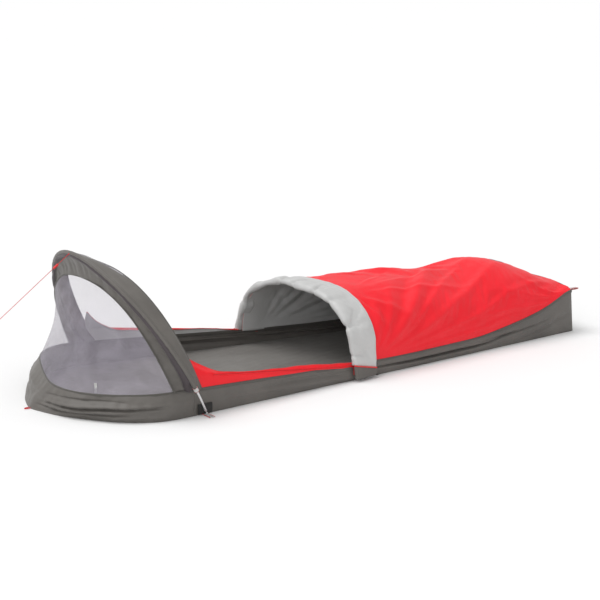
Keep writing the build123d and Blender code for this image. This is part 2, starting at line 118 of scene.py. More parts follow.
def smooth_line(points):
    """Points along the NURBS curve of order 3 that has these control points."""
    data = bpy.data.curves.new("line", "CURVE")
    data.dimensions = "3D"
    data.resolution_u = 24
    spline = data.splines.new("NURBS")
    spline.points.add(len(points) - 1)
    for knot, point in zip(spline.points, points):
        knot.co = (*point, 1)
    spline.order_u = 3
    spline.use_endpoint_u = True
    holder = bpy.data.objects.new("line", data)
    mesh = bpy.data.meshes.new_from_object(holder)
    line = np.array([v.co for v in mesh.vertices])
    bpy.data.meshes.remove(mesh)
    bpy.data.objects.remove(holder)
    bpy.data.curves.remove(data)
    return line


def at_share(line, share):
    """Points of a line at shares of its length, from 0 to 1."""
    steps = np.linalg.norm(np.diff(line, axis=0), axis=1)
    along = np.concatenate([[0], np.cumsum(steps)]) / steps.sum()
    return np.stack([np.interp(share, along, line[:, k]) for k in range(3)], axis=-1)


def length_of(line):
    """A line's length in metres."""
    return float(np.linalg.norm(np.diff(line, axis=0), axis=1).sum())


def at_step(line, v):
    """Points of a line at shares of its count of points, from 0 to 1."""
    steps = np.linspace(0, 1, len(line))
    return np.stack([np.interp(v, steps, line[:, k]) for k in range(3)], axis=-1)


def mirrored(line):
    """The same points on the sack's other side, in the opposite order."""
    return [point * np.array((1, -1, 1)) for point in reversed(line)]


def unit(vectors):
    """The same directions with a length of one."""
    return vectors / (np.linalg.norm(vectors, axis=-1, keepdims=True) + 1e-9)


def blended(share, low=0.0, high=1.0):
    """A smooth step from 0 to 1 as share goes from low to high."""
    t = np.clip((share - low) / (high - low), 0, 1)
    return t * t * (3 - 2 * t)


# %% [markdown]
# ## Making a piece
# Every piece gets the same finish: its mesh, its shading, a wall thickness where it is cloth,
# a material, the body that it rides on and the CAD nodes that it stands for.

# %% Piece helpers
both_sides = (("near", -1), ("far", 1))
cloth_wall = 0.0012
print("cloth walls are", cloth_wall * 1000, "mm")


def new_piece(name, mesh, material, body=None, replaces=()):
    piece = bpy.data.objects.new(name, mesh)
    bpy.context.scene.collection.objects.link(piece)
    for polygon in mesh.polygons:
        polygon.use_smooth = True
    mesh.materials.append(material)
    if body:
        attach(piece, body)
    if replaces:
        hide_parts(*replaces)
    return piece


def mesh_from(bm, name):
    mesh = bpy.data.meshes.new(name)
    bm.to_mesh(mesh)
    bm.free()
    return mesh


def panel_size(place):
    """A panel's size along u and along v, in metres, measured down its middle."""
    steps = np.linspace(0, 1, 81)
    middle = np.full(81, 0.5)
    return length_of(place(steps, middle)), length_of(place(middle, steps))


def cloth_mesh(name, columns, rows, place):
    """A grid moved to a panel's curve. place takes arrays of shares u and v, and gives points."""
    bm = bmesh.new()
    uv_layer = bm.loops.layers.uv.new("UVMap")
    bmesh.ops.create_grid(bm, x_segments=columns, y_segments=rows, size=0.5, calc_uvs=True)
    u = np.array([v.co.x + 0.5 for v in bm.verts])
    v = np.array([v.co.y + 0.5 for v in bm.verts])
    for vert, point in zip(bm.verts, place(u, v)):
        vert.co = point
    size = panel_size(place)
    for face in bm.faces:
        for loop in face.loops:
            share = loop[uv_layer].uv
            loop[uv_layer].uv = (share[0] * size[0], share[1] * size[1])
    return mesh_from(bm, name)


def thicken(piece, thickness, lining=None):
    """Gives cloth its wall. A lining is a second material for the inner face."""
    solid = piece.modifiers.new("wall", "SOLIDIFY")
    solid.thickness = thickness
    solid.offset = 0
    if lining:
        piece.data.materials.append(lining)
        solid.material_offset = 1
        solid.material_offset_rim = 0


def cloth_piece(name, grid, place, material, body, replaces=(), wall=cloth_wall, turned=False,
                lining=None):
    """A finished panel. turned is for a grid whose faces would look inwards."""
    piece = new_piece(name, cloth_mesh(name, *grid, place), material, body, replaces)
    if turned:
        piece.data.flip_normals()
    if wall:
        thicken(piece, wall, lining)
    return piece

# %% [markdown]
# ## Tubes and straps
# Cords, hems and poles are round, so a bevelled curve makes them with an even radius. A strap
# is flat, so it is a narrow grid that follows a line.

# %% Tube and strap helpers


def tube_mesh(name, line, radius, sides=3):
    """A round tube along a line of points, with closed ends."""
    data = bpy.data.curves.new(name, "CURVE")
    data.dimensions = "3D"
    data.bevel_depth = radius
    data.bevel_resolution = sides
    data.use_fill_caps = True
    spline = data.splines.new("POLY")
    spline.points.add(len(line) - 1)
    for knot, point in zip(spline.points, line):
        knot.co = (*point, 1)
    holder = bpy.data.objects.new(name, data)
    mesh = bpy.data.meshes.new_from_object(holder)
    bpy.data.objects.remove(holder)
    bpy.data.curves.remove(data)
    mesh.materials.clear()
    return mesh


def tube_piece(name, line, radius, sides, material, body, replaces=()):
    return new_piece(name, tube_mesh(name, line, radius, sides), material, body, replaces)


def strip_mesh(name, line, across, width, columns=4):
    """A flat strap along a line. across is the direction of its width."""
    line = np.asarray(line)
    across = unit(np.broadcast_to(np.asarray(across, float), line.shape))

    def place(u, v):
        return at_step(line, v) + at_step(across, v) * ((u - 0.5) * width)[:, None]

    return cloth_mesh(name, columns, len(line) - 1, place)


# %% [markdown]
# ## Folds
# Thin coated nylon shows three kinds of unevenness: a slow waviness, ridges that fan out
# from where the cloth is pulled, and creases along a seam. Each is a height that is added
# to the panel's curve, from sums of sines with a seeded generator, so it never changes.

# %% Fold helpers


def waviness(a, b, size, seed, waves=7):
    """A slow unevenness between about -1 and 1, with features of about that size."""
    random = np.random.default_rng(seed)
    total = np.zeros_like(a)
    for _ in range(waves):
        turn = random.uniform(0, math.pi)
        stretch = random.uniform(0.6, 1.6)
        phase = random.uniform(0, 2 * math.pi)
        total += np.sin((a * math.cos(turn) + b * math.sin(turn)) * 2 * math.pi * stretch / size + phase)
    return total / math.sqrt(waves) / 1.6


def fan_folds(a, b, centre, folds):
    """Ridges that fan out from a pulled point. A fold is (angle, height, width, start, end)."""
    total = np.zeros_like(a)
    da, db = a - centre[0], b - centre[1]
    for angle, height, width, start, end in folds:
        way = (math.cos(math.radians(angle)), math.sin(math.radians(angle)))
        out = da * way[0] + db * way[1]
        off = db * way[0] - da * way[1] + 0.05 * (out - start) ** 2
        spread = width * (0.55 + 0.9 * np.clip(out, 0, None) / end)
        ridge = np.exp(-(off / spread) ** 2) - 0.45 * np.exp(-((off - 1.7 * spread) / (1.2 * spread)) ** 2)
        starts = blended(out, start, start + 0.3 * (end - start))
        reach = starts * (1 - blended(out, 0.6 * end, end))
        total += height * ridge * reach
    return total


def creases(a, b, lines):
    """Long creases along a panel. A line is (middle b, slope, depth, width, start, end, bow)."""
    total = np.zeros_like(a)
    for middle, slope, depth, width, start, end, bow in lines:
        share = np.clip((a - start) / (end - start), 0, 1)
        off = b - middle - slope * (a - start) - bow * np.sin(math.pi * share)
        reach = np.sin(math.pi * share) ** 0.6 * (a > start) * (a < end)
        total += depth * reach * np.exp(-(off / width) ** 2)
    return total


# %% [markdown]
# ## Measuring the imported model
# The rim of the tub and the crest of the cover are read from the CAD solids with rays, so
# the cloth is sewn where the design says. A little smoothing rounds the stations off.

# %% Measure the CAD solids


def tree_of(mesh):
    """A mesh's faces, for rays."""
    return BVHTree.FromPolygons([v.co for v in mesh.vertices], [p.vertices for p in mesh.polygons])


def ray_line(tree, xs, starts, way, axis):
    """For each x, where a ray from that start meets the solid, on the wanted axis."""
    found = []
    for x, start in zip(xs, starts):
        hit = tree.ray_cast(Vector((x, start[0], start[1])), Vector(way))[0]
        found.append(math.nan if hit is None else hit[axis])
    found = np.array(found)
    known = ~np.isnan(found)
    return np.interp(xs, np.asarray(xs)[known], found[known])


def rounded_off(values, times=6):
    for _ in range(times):
        padded = np.concatenate([values[:1], values, values[-1:]])
        values = (padded[:-2] + 2 * padded[1:-1] + padded[2:]) / 4
    return values


hoop_x, _, hoop_z = joints["hoop_fold"]["pos_m"]
nose_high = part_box("nose_wall")[1]
floor_low, floor_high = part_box("floor_panel")
tub_x, foot_x = nose_high.x, floor_high.x
nose_half, nose_depth = nose_high.y, tub_x - floor_low.x
wall_thickness = 0.002
foot_half = wall_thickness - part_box("side_wall_near")[1].y


def half_at(x):
    """Half the sack's width at a place along its straight sides."""
    return nose_half + (foot_half - nose_half) * (np.asarray(x) - tub_x) / (foot_x - tub_x)


def foot_lean(x, z):
    """How far the foot end leans in at a height: the cover pulls its top edge towards the head."""
    near_foot = np.clip((np.asarray(x) - (foot_x - 0.12)) / 0.12, 0, 1)
    return 0.014 * near_foot ** 1.5 * np.clip(z / 0.15, 0, 1)

# %% [markdown]
# ## Rim and crest lines
# Rays dropped on the rim's binding and on the cover's middle give two height lines along the
# sack. Every panel that is sewn to the rim or to the cover asks these lines for its edge.

# %% Rim and crest
rim_x = np.linspace(tub_x + 0.004, foot_x - 0.004, 90)
rim_rays = [(half_at(x) - 0.001, 1.0) for x in rim_x]
rim_tree = tree_of(frame["nodes"]["rim_binding_far"].data)
rim_z = rounded_off(ray_line(rim_tree, rim_x, rim_rays, (0, 0, -1), 2), 10)
fold_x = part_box("cover")[0].x
crest_x = np.linspace(fold_x + 0.002, foot_x - 0.002, 60)
crest_tree = tree_of(frame["nodes"]["cover"].data)
crest_z = rounded_off(ray_line(crest_tree, crest_x, [(0.0, 1.0)] * 60, (0, 0, -1), 2), 8)


def rim_at(x):
    return np.interp(x, rim_x, rim_z)


def crest_at(x):
    return np.interp(x, crest_x, crest_z)


print("rim from", round(rim_z.min(), 3), "to", round(rim_z.max(), 3), "crest", round(crest_z.max(), 3))

# %% [markdown]
# ## Finishes
# Three effects are shared by the cloths, so they are node groups: the ripstop weave as a
# height, a soft blotchiness as a value, and fine crinkles as a height. They read either the piece's
# own UV map, which is in metres on the cloth, or Object coordinates on rods and cords.

# %% Node helpers


def group_of(name, setting, value, result):
    """A node group with a Vector and one setting in, and one result out."""
    group = bpy.data.node_groups.new(name, "ShaderNodeTree")
    group.interface.new_socket("Vector", in_out="INPUT", socket_type="NodeSocketVector")
    socket = group.interface.new_socket(setting, in_out="INPUT", socket_type="NodeSocketFloat")
    socket.default_value = value
    group.interface.new_socket(result, in_out="OUTPUT", socket_type="NodeSocketFloat")
    return group, group.nodes.new("NodeGroupInput"), group.nodes.new("NodeGroupOutput")


def node(tree, kind, settings=None, **values):
    made = tree.nodes.new(kind)
    for key, value in (settings or {}).items():
        setattr(made, key, value)
    for key, value in values.items():
        made.inputs[key.replace("_", " ")].default_value = value
    return made


def tone(tree, shader, value, low, high, start=0.3, end=0.7):
    """Colours a finish from low to high as a value goes from start to end."""
    ramp = tree.nodes.new("ShaderNodeValToRGB")
    for element, place, colour in zip(ramp.color_ramp.elements, (start, end), (low, high)):
        element.position = place
        element.color = (*colour, 1)
    tree.links.new(value, ramp.inputs[0])
    tree.links.new(ramp.outputs[0], shader.inputs["Base Color"])


def spread(tree, value, low, high, start=0.0, end=1.0, step="LINEAR"):
    """Maps a value that goes from start to end to one that goes from low to high."""
    made = node(tree, "ShaderNodeMapRange", {"interpolation_type": step}, From_Min=start, From_Max=end,
                To_Min=low, To_Max=high)
    tree.links.new(value, made.inputs[0])
    return made.outputs[0]


def bump(tree, height, distance, normal=None):
    made = node(tree, "ShaderNodeBump", Distance=distance)
    tree.links.new(height, made.inputs["Height"])
    if normal:
        tree.links.new(normal, made.inputs["Normal"])
    return made.outputs[0]


def maths(tree, operation, first, second):
    made = tree.nodes.new("ShaderNodeMath")
    made.operation = operation
    for socket, value in zip(made.inputs, (first, second)):
        if hasattr(value, "is_output"):
            tree.links.new(value, socket)
        else:
            socket.default_value = value
    return made.outputs[0]

# %% [markdown]
# ## Ripstop weave
# Ripstop nylon has a thicker thread every few millimetres, in squares. Two sets of lines on
# the UV map give the squares, and a faster wave between them gives the fine threads.

# %% Ripstop weave group
ripstop, rip_in, rip_out = group_of("ripstop_weave", "Pitch", 0.005, "Height")
split = ripstop.nodes.new("ShaderNodeSeparateXYZ")
ripstop.links.new(rip_in.outputs["Vector"], split.inputs[0])
squares = []
for axis in ("X", "Y"):
    cells = maths(ripstop, "DIVIDE", split.outputs[axis], rip_in.outputs["Pitch"])
    wave = maths(ripstop, "PINGPONG", cells, 0.5)
    squares.append(maths(ripstop, "LESS_THAN", wave, 0.06))
    threads = maths(ripstop, "SINE", maths(ripstop, "MULTIPLY", cells, 2 * math.pi * 9), 0)
    squares.append(maths(ripstop, "MULTIPLY", threads, 0.18))
total = maths(ripstop, "MAXIMUM", squares[0], squares[2])
total = maths(ripstop, "ADD", total, maths(ripstop, "ADD", squares[1], squares[3]))
ripstop.links.new(total, rip_out.inputs["Height"])
print("ripstop group", len(ripstop.nodes), "nodes")

# %% [markdown]
# ## Blotches
# Handled cloth is never one flat tone. A wide noise changes its colour and its roughness a
# little from place to place.

# %% Blotch group
blotch, blotch_in, blotch_out = group_of("soft_blotches", "Size", 0.1, "Value")
inverse = maths(blotch, "DIVIDE", 1.0, blotch_in.outputs["Size"])
wide = node(blotch, "ShaderNodeTexNoise", Detail=6.0, Roughness=0.62, Distortion=0.4)
blotch.links.new(blotch_in.outputs["Vector"], wide.inputs["Vector"])
blotch.links.new(inverse, wide.inputs["Scale"])
blotch.links.new(wide.outputs["Fac"], blotch_out.inputs["Value"])
print("blotch group", len(blotch.nodes), "nodes")

# %% [markdown]
# ## Crinkles
# Coated nylon keeps small sharp creases from being packed away. The borders of noise-bent
# cells look like them as a shallow bump; the large folds are real geometry.

# %% Crinkle group
crinkle, crinkle_in, crinkle_out = group_of("fine_crinkles", "Size", 0.03, "Height")
inverse = maths(crinkle, "DIVIDE", 1.0, crinkle_in.outputs["Size"])
warp = node(crinkle, "ShaderNodeTexNoise", Scale=14.0, Detail=3.0)
crinkle.links.new(crinkle_in.outputs["Vector"], warp.inputs["Vector"])
mixed = node(crinkle, "ShaderNodeMix", {"data_type": "VECTOR"}, Factor=0.06)
crinkle.links.new(crinkle_in.outputs["Vector"], mixed.inputs[4])
crinkle.links.new(warp.outputs["Color"], mixed.inputs[5])
cracks = node(crinkle, "ShaderNodeTexVoronoi", {"feature": "DISTANCE_TO_EDGE"}, Randomness=1.0)
crinkle.links.new(mixed.outputs[1], cracks.inputs["Vector"])
crinkle.links.new(inverse, cracks.inputs["Scale"])
height = maths(crinkle, "MINIMUM", cracks.outputs["Distance"], 0.22)
crinkle.links.new(height, crinkle_out.inputs["Height"])
print("crinkle group", len(crinkle.nodes), "nodes")

# %% [markdown]
# ## One recipe for all cloth
# Every cloth here is blotches, crinkles and a weave, with its own tones and sizes. One
# function builds them all, so they look like cloths of one family.

# %% Cloth finish
def coordinates(tree, kind):
    coords = tree.nodes.new("ShaderNodeTexCoord")
    return coords.outputs[kind]


def call(tree, group, vector, **values):
    made = tree.nodes.new("ShaderNodeGroup")
    made.node_tree = group
    tree.links.new(vector, made.inputs["Vector"])
    for key, value in values.items():
        made.inputs[key].default_value = value
    return made.outputs[0]


def new_material(name):
    material = bpy.data.materials.new(name)
    material.use_nodes = True
    tree = material.node_tree
    return material, tree, tree.nodes["Principled BSDF"]


def cloth_finish(name, low, high, rough=(0.5, 0.7), sheen=0.15, kind="UV", pitch=0.005, weave=0.00006,
                 folds=0.0006, fold_size=0.05, blotch_size=0.16, specular=0.4, crumple=True):
    """Blotchy cloth between two tones, with a fine weave and, where it can crumple, soft crinkles."""
    material, tree, shader = new_material(name)
    vector = coordinates(tree, kind)
    value = call(tree, blotch, vector, Size=blotch_size)
    tone(tree, shader, value, low, high)
    tree.links.new(spread(tree, value, *rough), shader.inputs["Roughness"])
    coarse = None
    if crumple:
        coarse = bump(tree, call(tree, crinkle, vector, Size=fold_size), folds)
    fine = bump(tree, call(tree, ripstop, vector, Pitch=pitch), weave, coarse)
    tree.links.new(fine, shader.inputs["Normal"])
    shader.inputs["Sheen Weight"].default_value = sheen
    shader.inputs["Sheen Roughness"].default_value = 0.4
    shader.inputs["Specular IOR Level"].default_value = specular
    return material


def trim_finish(name, low, high, pitch, rough, weave=0.00006, blotch_size=0.16):
    """A narrow trim or a badge: a coarse weave in Object coordinates, and no crinkles."""
    return cloth_finish(name, low, high, rough, kind="Object", pitch=pitch, weave=weave,
                        blotch_size=blotch_size, crumple=False)

# %% [markdown]
# ## The cloths
# The tub and hood are a grey-brown coated nylon, the cover is red, and its inner coating is a
# pale grey. Tapes and webbing are woven more coarsely, and have no crinkles.

# %% Cloth tones
taupe = ((0.104, 0.096, 0.087), (0.142, 0.131, 0.119))
tub_cloth = cloth_finish("tub_cloth", *taupe, rough=(0.42, 0.58), fold_size=0.07)
hood_cloth = cloth_finish("hood_cloth", *taupe, rough=(0.45, 0.6), fold_size=0.09)
# the gusset's dark tone is painted shade for the recess between the front band and the pole
gusset_cloth = cloth_finish("gusset_cloth", (0.052, 0.042, 0.046), (0.075, 0.062, 0.066))
floor_cloth = cloth_finish("floor_cloth", (0.15, 0.14, 0.13), (0.19, 0.18, 0.168), rough=(0.5, 0.68))
binding_cloth = trim_finish(
    "binding_cloth", (0.082, 0.077, 0.068), (0.108, 0.102, 0.092), 0.0016, (0.6, 0.75), weave=0.00015,
)
cover_cloth = cloth_finish(
    "cover_cloth", (0.84, 0.008, 0.018), (0.93, 0.014, 0.028), rough=(0.40, 0.54), fold_size=0.16,
    folds=0.0005, sheen=0.02, specular=0.3,
)
strip_cloth = cloth_finish(
    "strip_cloth", (0.84, 0.008, 0.016), (0.93, 0.014, 0.024), rough=(0.4, 0.55), fold_size=0.09,
    sheen=0.02, specular=0.3,
)
coated_cloth = cloth_finish(
    "coated_cloth", (0.50, 0.50, 0.495), (0.58, 0.58, 0.575), rough=(0.32, 0.48), fold_size=0.08,
    folds=0.0008, sheen=0.05,
)
tape_cloth = cloth_finish(
    "tape_cloth", (0.10, 0.095, 0.088), (0.13, 0.124, 0.115), pitch=0.0012, crumple=False,
)
webbing_cloth = trim_finish(
    "webbing_cloth", (0.50, 0.50, 0.49), (0.62, 0.62, 0.61), 0.0022, (0.6, 0.8), weave=0.0003,
)
red_webbing = trim_finish(
    "red_webbing", (0.68, 0.02, 0.022), (0.80, 0.04, 0.04), 0.002, (0.5, 0.7), weave=0.0003,
)
black_cloth = trim_finish(
    "black_cloth", (0.012, 0.012, 0.012), (0.022, 0.021, 0.02), 0.003, (0.6, 0.8), weave=0.0002,
)
print(len(bpy.data.materials), "materials")

# %% [markdown]
# ## The guyline
# A thin cord runs from a knot at the top of the hood down to a peg loop on the ground.
# It is taut, so its route has only two points. The peg loop is a second tied end.

# %% Guyline
guy_low, guy_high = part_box("guyline")
guy_exit = Vector((guy_high.x - 0.0008, 0, guy_high.z - 0.0006))
guy_end = Vector((guy_low.x + 0.0006, 0, guy_low.z + 0.0008))
guy_radius = 0.001


peg_ring_radius = 0.011

def cord_finish(name, low, high, pitch=0.0016):
    """A braided cord: two sets of slanted strands, as a bump, with painted shade in the hollows between
    them.
    """
    material, tree, shader = new_material(name)
    vector = coordinates(tree, "Object")
    parts = tree.nodes.new("ShaderNodeSeparateXYZ")
    tree.links.new(vector, parts.inputs[0])
    slants = []
    for sign in (1, -1):
        run = maths(tree, "ADD", parts.outputs["X"], maths(tree, "MULTIPLY", parts.outputs["Y"], sign))
        run = maths(tree, "ADD", run, parts.outputs["Z"])
        slants.append(maths(tree, "SINE", maths(tree, "MULTIPLY", run, 2 * math.pi / pitch), 0))
    weave = maths(tree, "MULTIPLY", slants[0], slants[1])
    half = maths(tree, "MULTIPLY", maths(tree, "ADD", weave, 1.0), 0.5)
    # the low hollows between strands get the darker tone: painted shade
    tone(tree, shader, half, low, high, 0.2, 0.8)
    tree.links.new(bump(tree, half, 0.0002), shader.inputs["Normal"])
    shader.inputs["Roughness"].default_value = 0.62
    return material


red_cord = cord_finish("red_cord", (0.42, 0.008, 0.012), (0.78, 0.03, 0.04))
guy_route = [guy_exit, guy_end]
guyline = tube_piece(
    "guyline_cord", smooth_line(guy_route), guy_radius, 3, red_cord, "bag", ["guyline"],
)

# %% [markdown]
# ## Peg loop and knot
# The line's lower end is tied in a small ring for a peg, and its upper end is knotted to the
# hood. A ring is a circle spun round an axis, and the knot is a cord along a trefoil.

# %% Peg loop and knot


def ring_mesh(name, centre, radius, thickness, across, up, turns=40):
    """A closed ring: a small circle spun about the axis up."""
    bm = bmesh.new()
    across, up = Vector(across).normalized(), Vector(up).normalized()
    axis = across.cross(up)
    bmesh.ops.create_circle(bm, cap_ends=False, segments=10, radius=thickness)
    frame_turn = np.array([across, axis, up]).T
    for vert in bm.verts:
        local = Vector((vert.co.x + radius, 0, vert.co.y))
        vert.co = Vector(frame_turn @ np.array((local.x, local.z, local.y))) + Vector(centre)
    bmesh.ops.spin(
        bm, geom=bm.edges[:], cent=centre, axis=up, angle=2 * math.pi, steps=turns, use_merge=True,
    )
    bmesh.ops.remove_doubles(bm, verts=bm.verts[:], dist=1e-6)
    bmesh.ops.recalc_face_normals(bm, faces=bm.faces[:])
    return mesh_from(bm, name)


peg_low, peg_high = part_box("guy_peg_loop")
peg_ring = ring_mesh(
    "guy_peg_ring", (peg_low + peg_high) / 2, peg_ring_radius - 0.0002, guy_radius, (1, 0, 0), (0, 0, 1),
)
peg_loop = new_piece("guy_peg_ring", peg_ring, red_cord, "bag", ["guy_peg_loop"])
knot_low, knot_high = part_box("guy_knot")
knot_centre = (knot_low + knot_high) / 2
knot_size = (knot_high - knot_low).x / 2


def knot_line(centre, size):
    """An overhand knot: a line wound through a trefoil."""
    turns = np.linspace(0, 2 * math.pi, 90)
    x = np.sin(turns) + 1.6 * np.sin(2 * turns)
    y = np.cos(turns) - 1.6 * np.cos(2 * turns)
    z = -1.2 * np.sin(3 * turns)
    return np.stack([z, x, y], axis=1) / 2.6 * (size - 0.0009) + np.array(centre)


knot = knot_line(knot_centre, knot_size)
tube_piece("guy_knot_turns", knot, 0.0010, 3, red_cord, "hoop", ["guy_knot"])
print("guyline", round((guy_exit - guy_end).length, 3), "m long")

# %% [markdown]
# ## The tub walls
# The tub is one strip of coated cloth that runs round the sack, from the floor's edge up to
# the bound rim. The nose bulges and is creased where it is pegged; the long walls carry a
# deep crease under the rim, because the cover pulls the rim inwards.

# %% Tub lines


def ring_points(near, far):
    """Control points round the nose, from (share of its depth, share of its half width, height)."""
    near_side = [(tub_x - depth * nose_depth, -half * nose_half, z) for depth, half, z in near]
    far_side = [(tub_x - depth * nose_depth, half * nose_half, z) for depth, half, z in reversed(far)]
    return near_side + far_side


rim_start = rim_at(tub_x)
base_ring = [
    (0, 1, 0), (0.19, 1.02, 0), (0.42, 0.955, 0), (0.645, 0.745, 0), (0.80, 0.515, 0),
    (0.905, 0.345, 0), (1.0, 0.05, 0),
]
# the rim sags on the near side, and stands higher and further in on the far side
near_rim = [
    (0, 1, rim_start), (0.21, 0.99, 0.092), (0.43, 0.90, 0.090), (0.645, 0.71, 0.088), (0.78, 0.50, 0.086),
    (0.845, 0.30, 0.086), (0.86, 0.1, 0.090),
]
far_rim = [
    (0, 1, rim_start), (0.21, 0.985, 0.100), (0.42, 0.875, 0.107), (0.60, 0.68, 0.113), (0.70, 0.47, 0.114),
    (0.77, 0.27, 0.108), (0.82, 0.09, 0.098),
]
nose_base_line = smooth_line(ring_points(base_ring, base_ring))
nose_rim_line = smooth_line(ring_points(near_rim, far_rim))
nose_girth = length_of(nose_base_line)
print("nose girth", round(nose_girth, 3))

# %% [markdown]
# ## The nose
# The nose is the tub's rounded end, pegged at its tip. Its wall runs between two curves, and
# creases are pressed in where the peg pulls on it and where it bulges beside the tip.

# %% Nose wall
nose_creases = [
    # middle b, slope, depth, width, start, end, bow
    (0.052, -0.035, -0.0050, 0.0050, 0.10, 0.60, 0.004),
    (0.061, -0.040, 0.0040, 0.0070, 0.08, 0.58, 0.004),
    (0.030, -0.020, -0.0045, 0.0050, 0.22, 0.62, -0.003),
    (0.040, -0.030, 0.0035, 0.0060, 0.20, 0.60, -0.002),
    (0.074, -0.030, -0.0035, 0.0045, 0.24, 0.60, 0.006),
    (0.014, 0.015, 0.0030, 0.0060, 0.10, 0.50, 0.003),
    (0.040, 0.110, -0.0014, 0.0060, 0.56, 0.72, 0.004),
    (0.050, -0.090, -0.0020, 0.0060, 0.60, 0.84, 0.004),
    (0.062, 0.020, 0.0040, 0.0080, 0.66, 1.06, -0.004),
    (0.030, 0.020, -0.0045, 0.0060, 0.70, 1.10, 0.004),
]


def nose_place(u, v):
    base, rim = at_share(nose_base_line, u), at_share(nose_rim_line, u)
    points = base + (rim - base) * v[:, None]
    outward = base - np.array((tub_x, 0, 0))
    outward[:, 2] = 0
    outward = unit(outward)
    a, b = u * nose_girth, v * 0.1
    free = np.sin(math.pi * np.clip(v, 0, 1)) ** 0.5 * np.clip(np.minimum(u, 1 - u) / 0.05, 0, 1)
    tip = np.exp(-((u - 0.5) / 0.13) ** 2)
    bulge = (0.019 - 0.017 * tip) * np.sin(math.pi * v) * np.sin(math.pi * u) ** 0.5
    folds = creases(a, b, nose_creases) + 0.0018 * waviness(a, b * 2.2, 0.16, 3)
    folds += 0.0008 * waviness(a, b, 0.045, 4)
    calm = 1 - 0.55 * blended(u, 0.47, 0.58)
    points += outward * (bulge + free * calm * folds * 2.4)[:, None]
    points[:, 2] += 0.0015 * free * waviness(a, b, 0.2, 5)
    return points


cloth_piece("tub_nose", (260, 44), nose_place, tub_cloth, "bag", ["nose_wall"])
print("nose wall made")

# %% [markdown]
# ## The long walls
# Each long wall is a grid between floor and rim. Its folds are listed as long creases, the
# deepest under the rim, where the cover's pull gathers the cloth.

# %% Long walls
wall_creases = [
    # middle below the rim, slope, depth, width, start, end, bow
    (-0.024, -0.010, -0.0090, 0.0044, 0.70, 1.54, 0.000),
    (-0.013, -0.006, 0.0026, 0.0060, 0.88, 1.58, 0.000),
    (-0.034, -0.012, 0.0022, 0.0060, 0.90, 1.46, 0.000),
    (-0.010, -0.090, -0.0042, 0.0040, 1.26, 1.74, 0.000),
    (-0.019, -0.080, 0.0024, 0.0060, 1.28, 1.74, 0.000),
    (-0.030, 0.002, -0.0030, 0.0050, 0.25, 0.68, 0.004),
    (-0.021, 0.004, -0.0022, 0.0035, 0.30, 0.72, 0.003),
    (-0.045, -0.006, 0.0030, 0.0070, 0.12, 0.80, 0.004),
    (-0.085, -0.020, -0.0030, 0.0080, 1.45, 1.86, 0.010),
]


def wall_place_for(side):
    def place(u, v):
        x = tub_x + u * (foot_x - tub_x)
        half, rim = half_at(x), rim_at(x)
        a, drop = u * (foot_x - tub_x), (v - 1) * rim
        ends = np.clip(np.minimum(u, 1 - u) / 0.012, 0, 1)
        free = np.sin(math.pi * np.clip(v, 0.0, 1)) ** 0.6 * ends
        folds = 1.9 * creases(a, drop, wall_creases)
        folds += 0.0028 * waviness(a, drop * 2, 0.22, 11 + side) + 0.0010 * waviness(a, drop, 0.05, 12)
        bulge = 0.007 * np.sin(math.pi * v) * np.sin(math.pi * u) ** 0.4
        y = half + bulge + free * folds
        lean = 0.0016 * v * waviness(a, a * 0, 0.5, 14) * ends
        return np.stack([x - foot_lean(x, v * rim), side * (y + lean), v * rim], axis=1)
    return place


for label, side in both_sides:
    cloth_piece(f"tub_wall_{label}", (520, 44), wall_place_for(side), tub_cloth, "bag",
                [f"side_wall_{label}"], turned=side > 0)
print("long walls made")

# %% [markdown]
# ## The foot wall
# The foot is closed by one upright panel. Its top edge follows the cover's arch, and it leans
# in a little, so no gap is left between the two.

# %% Foot wall
def foot_place(u, v):
    half = half_at(foot_x)
    y = (u - 0.5) * 2 * half
    base = rim_at(foot_x) - 0.006
    top = base + (crest_at(foot_x) - base) * np.clip(1 - np.abs(y / half) ** 2.1, 0, 1) ** (1 / 2.1)
    free = np.sin(math.pi * u) ** 0.6 * np.sin(math.pi * v) ** 0.6
    out = 0.006 * free * (1 + waviness(y, v * top, 0.12, 21))
    out = out + 0.0012 * free * waviness(y, v * top, 0.04, 22)
    return np.stack([foot_x - 0.001 + out - foot_lean(foot_x, v * top), y, v * top], axis=1)


cloth_piece("tub_foot", (90, 40), foot_place, tub_cloth, "bag", ["foot_end_panel"])
print("foot wall made")


# %% [markdown]
# ## The floor
# The floor is cut to the tub's outline. Each line across the grid runs from one wall to the
# other, so it reaches the edge everywhere. It lies on the ground, so it is only just uneven.

# %% Floor
nose_near = nose_base_line[: len(nose_base_line) // 2 + 1]


def floor_half(x):
    order = np.argsort(nose_near[:, 0])
    in_nose = np.interp(x, nose_near[order, 0], -nose_near[order, 1])
    return np.where(x < tub_x, in_nose, half_at(x))


def floor_place(u, v):
    tip = nose_near[:, 0].min() + 0.0005
    share = np.where(u < 0.3, 0.24 * (u / 0.3) ** 1.8, 0.24 + 0.76 * (u - 0.3) / 0.7)
    x = tip + share * (foot_x - tip)
    half = floor_half(x)
    y = (v - 0.5) * 2 * half
    free = np.clip(np.minimum(v, 1 - v) / 0.04, 0, 1) * np.clip(np.minimum(u, 1 - u) / 0.03, 0, 1)
    z = 0.0016 + free * (0.0018 + 0.0018 * waviness(x, y, 0.16, 31) + 0.0008 * waviness(x, y, 0.05, 32))
    return np.stack([x, y, np.clip(z, 0.0009, None)], axis=1)


cloth_piece("tub_floor", (300, 120), floor_place, floor_cloth, "bag", ["floor_panel"])
print("floor made")

# %% [markdown]
# ## The bound rim
# A narrow tape is folded over the rim's raw edge and stitched. A tube along the rim would look
# like wire, so the tape is a flat strip that wraps over the edge, and it is a little uneven.

# %% Rim binding


